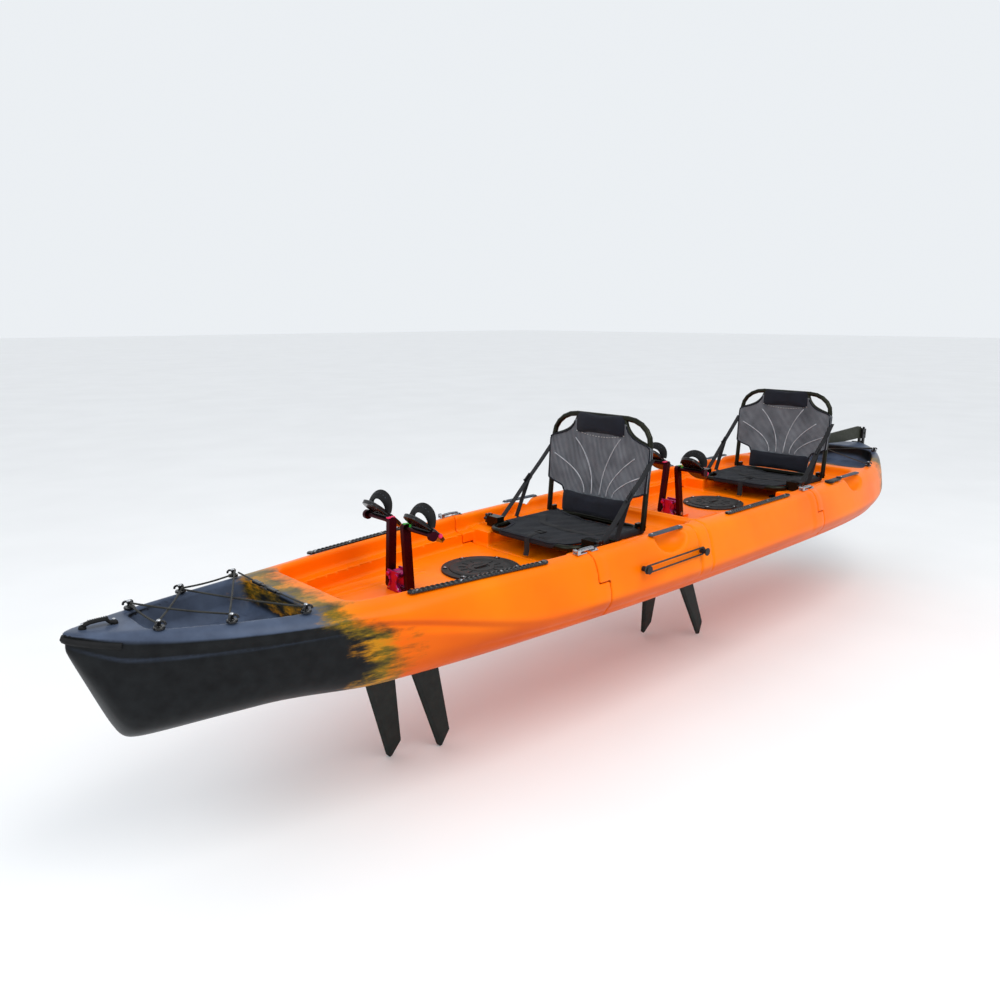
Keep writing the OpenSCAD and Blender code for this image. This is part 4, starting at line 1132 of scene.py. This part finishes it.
def hatch_details(p):
    lo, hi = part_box(p + "_hatch_lid")
    c = Vector(((lo.x + hi.x) / 2, 0, 0))
    r = (hi.x - lo.x) / 2
    top, base = hi.z, lo.z
    low, raised = top - 0.0035, top - 0.0015
    profile = [(0, low), (0.030, low), (0.032, raised), (0.046, raised), (0.048, low)]
    profile += [(r - 0.030, low), (r - 0.026, top - 0.0008), (r - 0.006, top), (r - 0.0012, top - 0.003)]
    profile += [(r - 0.0005, base + 0.004), (r - 0.004, base + 0.001), (0, base + 0.001)]
    lid = [lathe("lid", profile, c, UP, CHARCOAL, 72)]
    for k in range(12):
        a = math.radians(30 * k + 15)
        place = c + Vector((0.063 * math.cos(a), 0.063 * math.sin(a), top - 0.0028))
        lid.append(box("rib", place, (0.024, 0.003, 0.003), CHARCOAL, 0.001, Matrix.Rotation(a, 3, "Z")))
    lid.append(box("grip", c + UP * (top + 0.0004), (0.058, 0.010, 0.004), CHARCOAL, 0.0018))
    put(joined(p + "_lid_disc", lid), p + "_hatch_lid", p + "_hatch_lid", finish="hatch_black")
    clips = []
    out, level = r + 0.0125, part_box("hatch_rings")[1].z + 0.0012
    bolt = [(0, 0.0012), (0.0028, 0.001), (0.0034, 0), (0, 0)]
    for k in range(6):
        a = math.radians(60 * k + 20)
        place = c + Vector((out * math.cos(a), out * math.sin(a), level))
        clips.append(box("clip", place, (0.014, 0.020, 0.0045), GLOSS, 0.0015, Matrix.Rotation(a, 3, "Z")))
        clips.append(lathe("bolt", bolt, place + UP * 0.0022, UP, STEEL, 14))
    put(joined(p + "_ring_clips", clips), "hull", finish="hatch_black")


def drive_details(p):
    lo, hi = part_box(p + "_drive_base")
    c = (lo + hi) / 2
    bottom, top = FLOOR + 0.008, hi.z
    tall = top - bottom
    parts = []
    rows = [
        (0.0, 0.033),
        (0.10, 0.033),
        (0.16, 0.027),
        (0.38, 0.0165),
        (0.55, 0.0150),
        (0.74, 0.020),
        (0.88, 0.028),
        (1.0, 0.031),
    ]
    outline = [(-w, bottom + tall * t) for t, w in rows[::-1]] + [(w, bottom + tall * t) for t, w in rows]
    for x in (lo.x + 0.005, hi.x - 0.005):
        parts.append(prism("plate", outline, ((x, 0, 0), WIDE, UP), 0.008, PURPLE, 0.0016))
    long_boss = [(0, 0.032), (0.0065, 0.032), (0.008, 0.030), (0.008, -0.030), (0.0065, -0.032), (0, -0.032)]
    side_boss = [(0, 0.010), (0.006, 0.010), (0.0072, 0.008), (0.0072, -0.008), (0, -0.008)]
    bolt = [(0, 0.0028), (0.0042, 0.0024), (0.005, 0), (0, 0)]
    for side in (-1, 1):
        parts.append(lathe("boss", long_boss, (c.x, side * 0.022, top - 0.012), LONG, PURPLE, 28))
        parts.append(lathe("boss", side_boss, (c.x, side * 0.023, bottom + 0.007), (0, side, 0), PURPLE, 24))
        for x in (lo.x + 0.0006, hi.x - 0.0006):
            d = 1 if x > c.x else -1
            parts.append(lathe("bolt", bolt, (x, side * 0.022, bottom + 0.012), (d, 0, 0), STEEL, 18))
            rib = [
                (x, side * 0.028, bottom + 0.006),
                (x + d * 0.001, side * 0.0145, bottom + tall * 0.45),
                (x, side * 0.025, top - 0.006),
            ]
            parts.append(tube("rib", smooth_path(rib, 8), 0.0032, PURPLE, sides=10))
    parts.append(box("core", (c.x, 0, bottom + tall * 0.5), (0.036, 0.020, tall * 0.82), PURPLE, 0.003))
    put(joined(p + "_yoke", parts), "hull", p + "_drive_base", finish="base_anodised")


def pedal_details(p, end):
    lo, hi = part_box(f"{p}_pedal_{end}")
    arm_lo, arm_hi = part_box(f"{p}_arm_{end}")
    pedal = f"{p}_pedal_{end}"
    side = 1 if end == "port" else -1
    c = (lo + hi) / 2
    tilt = math.radians(50)
    # along runs up the pad from heel to toe, away is the side the foot is on
    along = Vector((math.sin(tilt), 0, math.cos(tilt)))
    away = Vector((-along.z, 0, along.x))
    turn = Matrix((along, WIDE, away)).transposed()
    long, wide = 0.146, 0.090

    def at(u, v, w):
        return c + WIDE * v + along * u + away * w

    outline = []
    for k in range(48):
        ca, sa = turned(k, 48)
        u = long / 2 * math.copysign(abs(ca) ** 0.55, ca)
        v = wide / 2 * math.copysign(abs(sa) ** 0.6, sa) * (1 - 0.14 * (u / (long / 2)) ** 2)
        outline.append((u, v))
    parts = [prism("tray", outline, (at(0, 0, -0.001), along, WIDE), 0.008, GLOSS, 0.0022)]
    rim = [at(u * 0.965, v * 0.955, 0.0045) for u, v in outline]
    parts.append(tube("rim", rim, 0.0036, GLOSS, closed=True, sides=10))
    for k in range(7):
        place = at(-0.054 + 0.018 * k, 0, 0.0046)
        parts.append(box("tread", place, (0.0045, wide * 0.74, 0.005), RUBBER, 0.0014, turn))
    for v in (-0.028, 0.0, 0.028):
        parts.append(box("stud", at(0.0, v, 0.0065), (long * 0.72, 0.004, 0.003), RUBBER, 0.001, turn))
    axle = [(0, 0.050), (0.0085, 0.050), (0.0095, 0.047), (0.0095, -0.047), (0, -0.047)]
    parts.append(lathe("axle", axle, at(0, 0, -0.0015), WIDE, GLOSS, 20))
    put(joined(f"{p}_tray_{end}", parts), pedal, pedal, finish="pedal_plastic")

    # strap: a wide loop over the foot, with slots and a tail
    loop = []
    for i in range(33):
        a = math.pi * i / 32
        height = 0.004 + 0.042 * math.sin(a) ** 0.75
        loop.append(at(0.018 + 0.026 * math.sin(a), math.cos(a) * 0.0465, height))

    def outward(q, w):
        return (q - at(0.024, 0, w)).normalized()

    band = [strap("band", loop, 0.033, 0.0034, RUBBER, along)]
    for q in loop[9:24:3]:
        n = outward(q, 0.014)
        across = Matrix((along, n.cross(along), n)).transposed()
        band.append(box("slot", q + n * 0.0016, (0.010, 0.0036, 0.0016), GREY, 0.0006, across))
    tail = [loop[24], loop[27] + outward(loop[27], 0.014) * 0.004, loop[30] + outward(loop[30], 0.008) * 0.008]
    band.append(strap("tail", smooth_path(tail, 6), 0.024, 0.0026, RUBBER, along))
    put(joined(f"{p}_loop_{end}", band), pedal, f"{p}_foot_strap_{end}", finish="foot_webbing")

    # coloured caps on the outside end of the pedal axle and on the arm
    cap = GREEN if end == "port" else PINK
    arm_cap = ((arm_lo.x + arm_hi.x) / 2, side * 0.048, arm_hi.z - 0.003)
    axle_cap = (c.x + 0.0004, side * 0.0615, arm_hi.z - 0.012)
    dome = [(0, 0.006), (0.006, 0.0055), (0.009, 0.003), (0.0095, 0), (0.0095, -0.003), (0, -0.003)]
    bolts = [box("cap", arm_cap, (0.022, 0.013, 0.004), cap, 0.0015)]
    bolts.append(lathe("knob", dome, axle_cap, (0, side, 0), cap, 28))
    put(joined(f"{p}_caps_{end}", bolts), f"{p}_arm_{end}", finish="pedal_plastic")
    dome = [(0, 0.005), (0.004, 0.0048), (0.0068, 0.003), (0.0075, 0), (0, 0)]
    nub = lathe(f"{p}_nub_{end}", dome, at(-0.030, side * 0.0452, 0.002), (0, side, 0), PINK, 24)
    put(nub, pedal, finish="pedal_plastic")


BOW_HOOKS = [BOW_X - 0.183, BOW_X - 0.335, BOW_X - 0.508]
STERN_HOOKS = [STERN_X + 0.19, SEAMS["rear"] - 0.755]


def cords():
    made = []
    sag = 0.004

    def run(points, name):
        path = []
        for a, b in zip(points[:-1], points[1:]):
            for i in range(10):
                q = a.lerp(b, i / 10)
                q.z -= sag * math.sin(math.pi * i / 10)
                path.append(q)
        path.append(points[-1])
        made.append(tube(name, path, 0.0026, CORD, sides=10))

    h, t = ([[deck(x, 0.0345, 0.0115, side) for side in (1, -1)] for x in xs] for xs in (BOW_HOOKS, STERN_HOOKS))
    over = UP * 0.006
    aft = LONG * -0.012
    run([h[2][0], h[1][1], h[0][0]], "bow_a")
    run([h[2][1] + over, h[1][0] + over, h[0][1] + over], "bow_b")
    run([h[0][0], h[0][1]], "bow_c")
    run([h[1][1] + over * 0.5, h[2][1] - over * 0.2], "bow_d")
    run([h[2][0] + aft, h[2][1] + aft], "bow_lip")
    run([t[1][0], t[0][1]], "stern_a")
    run([t[1][1] + over, t[0][0] + over], "stern_b")
    run([t[0][0], t[0][1]], "stern_c")
    ball = [(0, 0.0042), (0.003, 0.0036), (0.0042, 0), (0.003, -0.0036), (0, -0.0042)]
    for pair in h + t:
        for q in pair:
            made.append(lathe("ball", ball, q, UP, CORD, 12))
    # buckle hooks on the cord across the aft lip
    for f in (0.30, 0.52):
        q = (h[2][1] + aft).lerp(h[2][0] + aft, f)
        q.z -= sag * math.sin(math.pi * f)
        made.append(box("clip", q, (0.014, 0.046, 0.009), GLOSS, 0.003))
        made.append(box("clip", q + WIDE * 0.030, (0.008, 0.020, 0.006), GLOSS, 0.002))
    put(joined("deck_cords", made), "hull", "deck_bungees", finish="shock_cord")


def hooks():
    made = []
    disc = [(0, 0.004), (0.006, 0.0045), (0.0075, 0.003), (0.0125, 0.003), (0.0138, 0.0012), (0.0138, -0.003), (0, -0.003)]
    bolt = [(0, 0.0035), (0.0035, 0.0030), (0.0055, 0.001), (0.0055, 0), (0, 0)]
    post = [(0, 0.016), (0.0068, 0.016), (0.0075, 0.0145), (0.0058, 0.012), (0.0046, 0.009), (0.0046, 0), (0, 0)]
    bend = [(0, 0, 0.0135), (0.006, 0.006, 0.0150), (0.0105, 0.0095, 0.0120), (0.0115, 0.0105, 0.0065)]
    for x in BOW_HOOKS + STERN_HOOKS:
        for side in (-1, 1):
            q = deck(x, 0.024, 0.0035, side)
            made.append(lathe("disc", disc, q, UP, GLOSS, 32))
            made.append(lathe("bolt", bolt, q + UP * 0.0165, UP, STEEL, 20))
            made.append(lathe("post", post, q, UP, GLOSS, 20))
            for way in (-1, 1):
                horn = [q + Vector((way * a, side * b, c)) for a, b, c in bend]
                made.append(tube("horn", smooth_path(horn, 5), 0.0030, GLOSS, sides=10))
    put(joined("cord_hooks", made), "hull", "deck_hooks", finish="hook_black")


def bow_handle():
    lo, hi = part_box("bow_handle")
    x0, x1, top = lo.x + 0.012, hi.x - 0.012, hi.z
    middle = (x0 + x1) / 2
    arch = [
        (x0, 0, lo.z + 0.004),
        (x0 + 0.012, 0, lo.z + 0.008),
        (middle - 0.015, 0, top - 0.007),
        (middle + 0.015, 0, top - 0.0065),
        (x1 - 0.012, 0, top - 0.0075),
        (x1, 0, top - 0.010),
    ]
    left = [(-0.0085, -0.002), (-0.0075, 0.0028), (-0.003, 0.0042)]
    flat = left + [(-y, z) for y, z in left[::-1]] + [(0.0055, -0.0035), (-0.0055, -0.0035)]
    parts = [sweep("grip", smooth_path(arch, 8), flat, RUBBER)]
    foot = [(0, 0.009), (0.006, 0.009), (0.0085, 0.006), (0.0088, 0.0004), (0, 0.0004)]
    for x in (x0, x1):
        parts.append(lathe("foot", foot, (x, 0, float(gunwale(x))), UP, RUBBER, 28))
    for k in range(9):
        place = (middle - 0.020 + 0.005 * k, 0, top - 0.0028)
        parts.append(box("rib", place, (0.0018, 0.0145, 0.0024), RUBBER, 0.0006))
    put(joined("carry_handle", parts), "hull", "bow_handle", finish="handle_rubber")


def latches():
    fixed = []
    bolt = [(0, 0.0016), (0.002, 0.0014), (0.003, 0), (0, 0)]
    end = [(-0.030, -0.0045, 0.0120), (-0.0315, 0, 0.0122), (-0.030, 0.0045, 0.0120)]
    for s in SEAMS.values():
        for side in (-1, 1):
            q = deck(s, 0.030, 0.0, side)
            q.z = DEPTH
            for dx in (-0.038, 0.046):
                for dy in (-0.006, 0.006):
                    fixed.append(lathe("bolt", bolt, q + Vector((dx, dy, 0.0030)), UP, STEEL, 14))
            for dy in (-0.0045, 0.0045):
                wire = [(0.030, dy, 0.0125), (0.0, dy * 1.15, 0.0130), (-0.030, dy, 0.0120)]
                wire = smooth_path([q + Vector(v) for v in wire], 5)
                fixed.append(tube("wire", wire, 0.0014, STEEL, sides=8))
            fixed.append(tube("wire", [q + Vector(v) for v in end], 0.0014, STEEL, sides=8))
    put(joined("latch_wires", fixed), "hull", finish="latch_steel")


def paddle_keeper():
    made = []
    lo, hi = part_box("paddle_buttons")
    face = [(0, 0.0016), (0.0045, 0.0012), (0.006, 0), (0, 0)]
    fore, aft = SEAMS["front"] - 0.208, SEAMS["front"] - 0.532
    for side in (-1, 1):
        for x, y in ((fore, float(half_beam(fore)) + 0.0075), (aft, hi.y - 0.0022)):
            place = (x, side * y, (lo.z + hi.z) / 2)
            made.append(lathe("face", face, place, (0, side, 0), PALE, 24))
    put(joined("button_faces", made), "hull", finish="screw_steel")


def grips():
    made = []
    n, half = 44, 0.094
    left = [(-0.0125, 0.0006), (-0.0125, 0.004), (-0.0095, 0.0066)]
    profile = left + [(0.0, 0.0074)] + [(-y, z) for y, z in left[::-1]]
    for p, s in SEAMS.items():
        x = s - GRIP_BACK[p]
        for side in (-1, 1):
            y0 = side * (float(top_half(x)) - 0.024)
            rows = []
            for i in range(n + 1):
                t = -half + 2 * half * i / n
                end = min(1.0, (half - abs(t)) / 0.008) ** 0.5 if abs(t) < half else 0.0
                tall = (1.0 if i % 2 else 0.86) * max(end, 0.3)
                wide = max(end, 0.55)
                rows.append([(x + t, y0 + y * wide, DEPTH + 0.0006 + (z - 0.0006) * tall) for y, z in profile])
            made.append(skin("grip", rows, GREY, True, 1e-6, 40))
    put(joined("ribbed_grips", made), "hull", "side_grips", finish="grip_grey")


def screws():
    made = []
    head = [(0, 0.0020), (0.0022, 0.0018), (0.0036, 0.0008), (0.0040, 0), (0, 0)]
    lo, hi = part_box("bow_handle")
    for x in (lo.x + 0.012, hi.x - 0.012):
        made.append(lathe("screw", head, (x, 0, float(gunwale(x)) + 0.0132), UP, STEEL, 18))
    for p, s in SEAMS.items():
        x = s - GRIP_BACK[p]
        for side in (-1, 1):
            for dx in (-0.082, 0.082):
                y = side * (float(top_half(x)) - 0.024)
                made.append(lathe("screw", head, (x + dx, y, DEPTH + 0.0066), UP, STEEL, 18))
    put(joined("deck_screw_heads", made), "hull", "deck_screws", finish="screw_steel")


def nose():
    """The raised lip round the nose, just under the gunwale."""
    line = []
    for i in range(-20, 21):
        x = BOW_X - 0.002 - 0.098 * (abs(i) / 20) ** 1.3
        y = math.copysign(float(half_beam(x)) * 0.97 + 0.001, i) * min(1, abs(i) / 2)
        line.append((x, y, float(gunwale(x)) - 0.016 - 0.012 * abs(i) / 20))
    section = [(-0.004, -0.008), (0.004, -0.007), (0.007, 0), (0.004, 0.007), (-0.004, 0.008)]
    put(sweep("nose_lip", smooth_path(line, 2), section, RUBBER), "hull", finish="hull_black")


gear_tracks()
for p in SEAMS:
    hatch_details(p)
    drive_details(p)
    for end in ("port", "stbd"):
        pedal_details(p, end)
cords()
hooks()
bow_handle()
nose()
latches()
paddle_keeper()
grips()
screws()
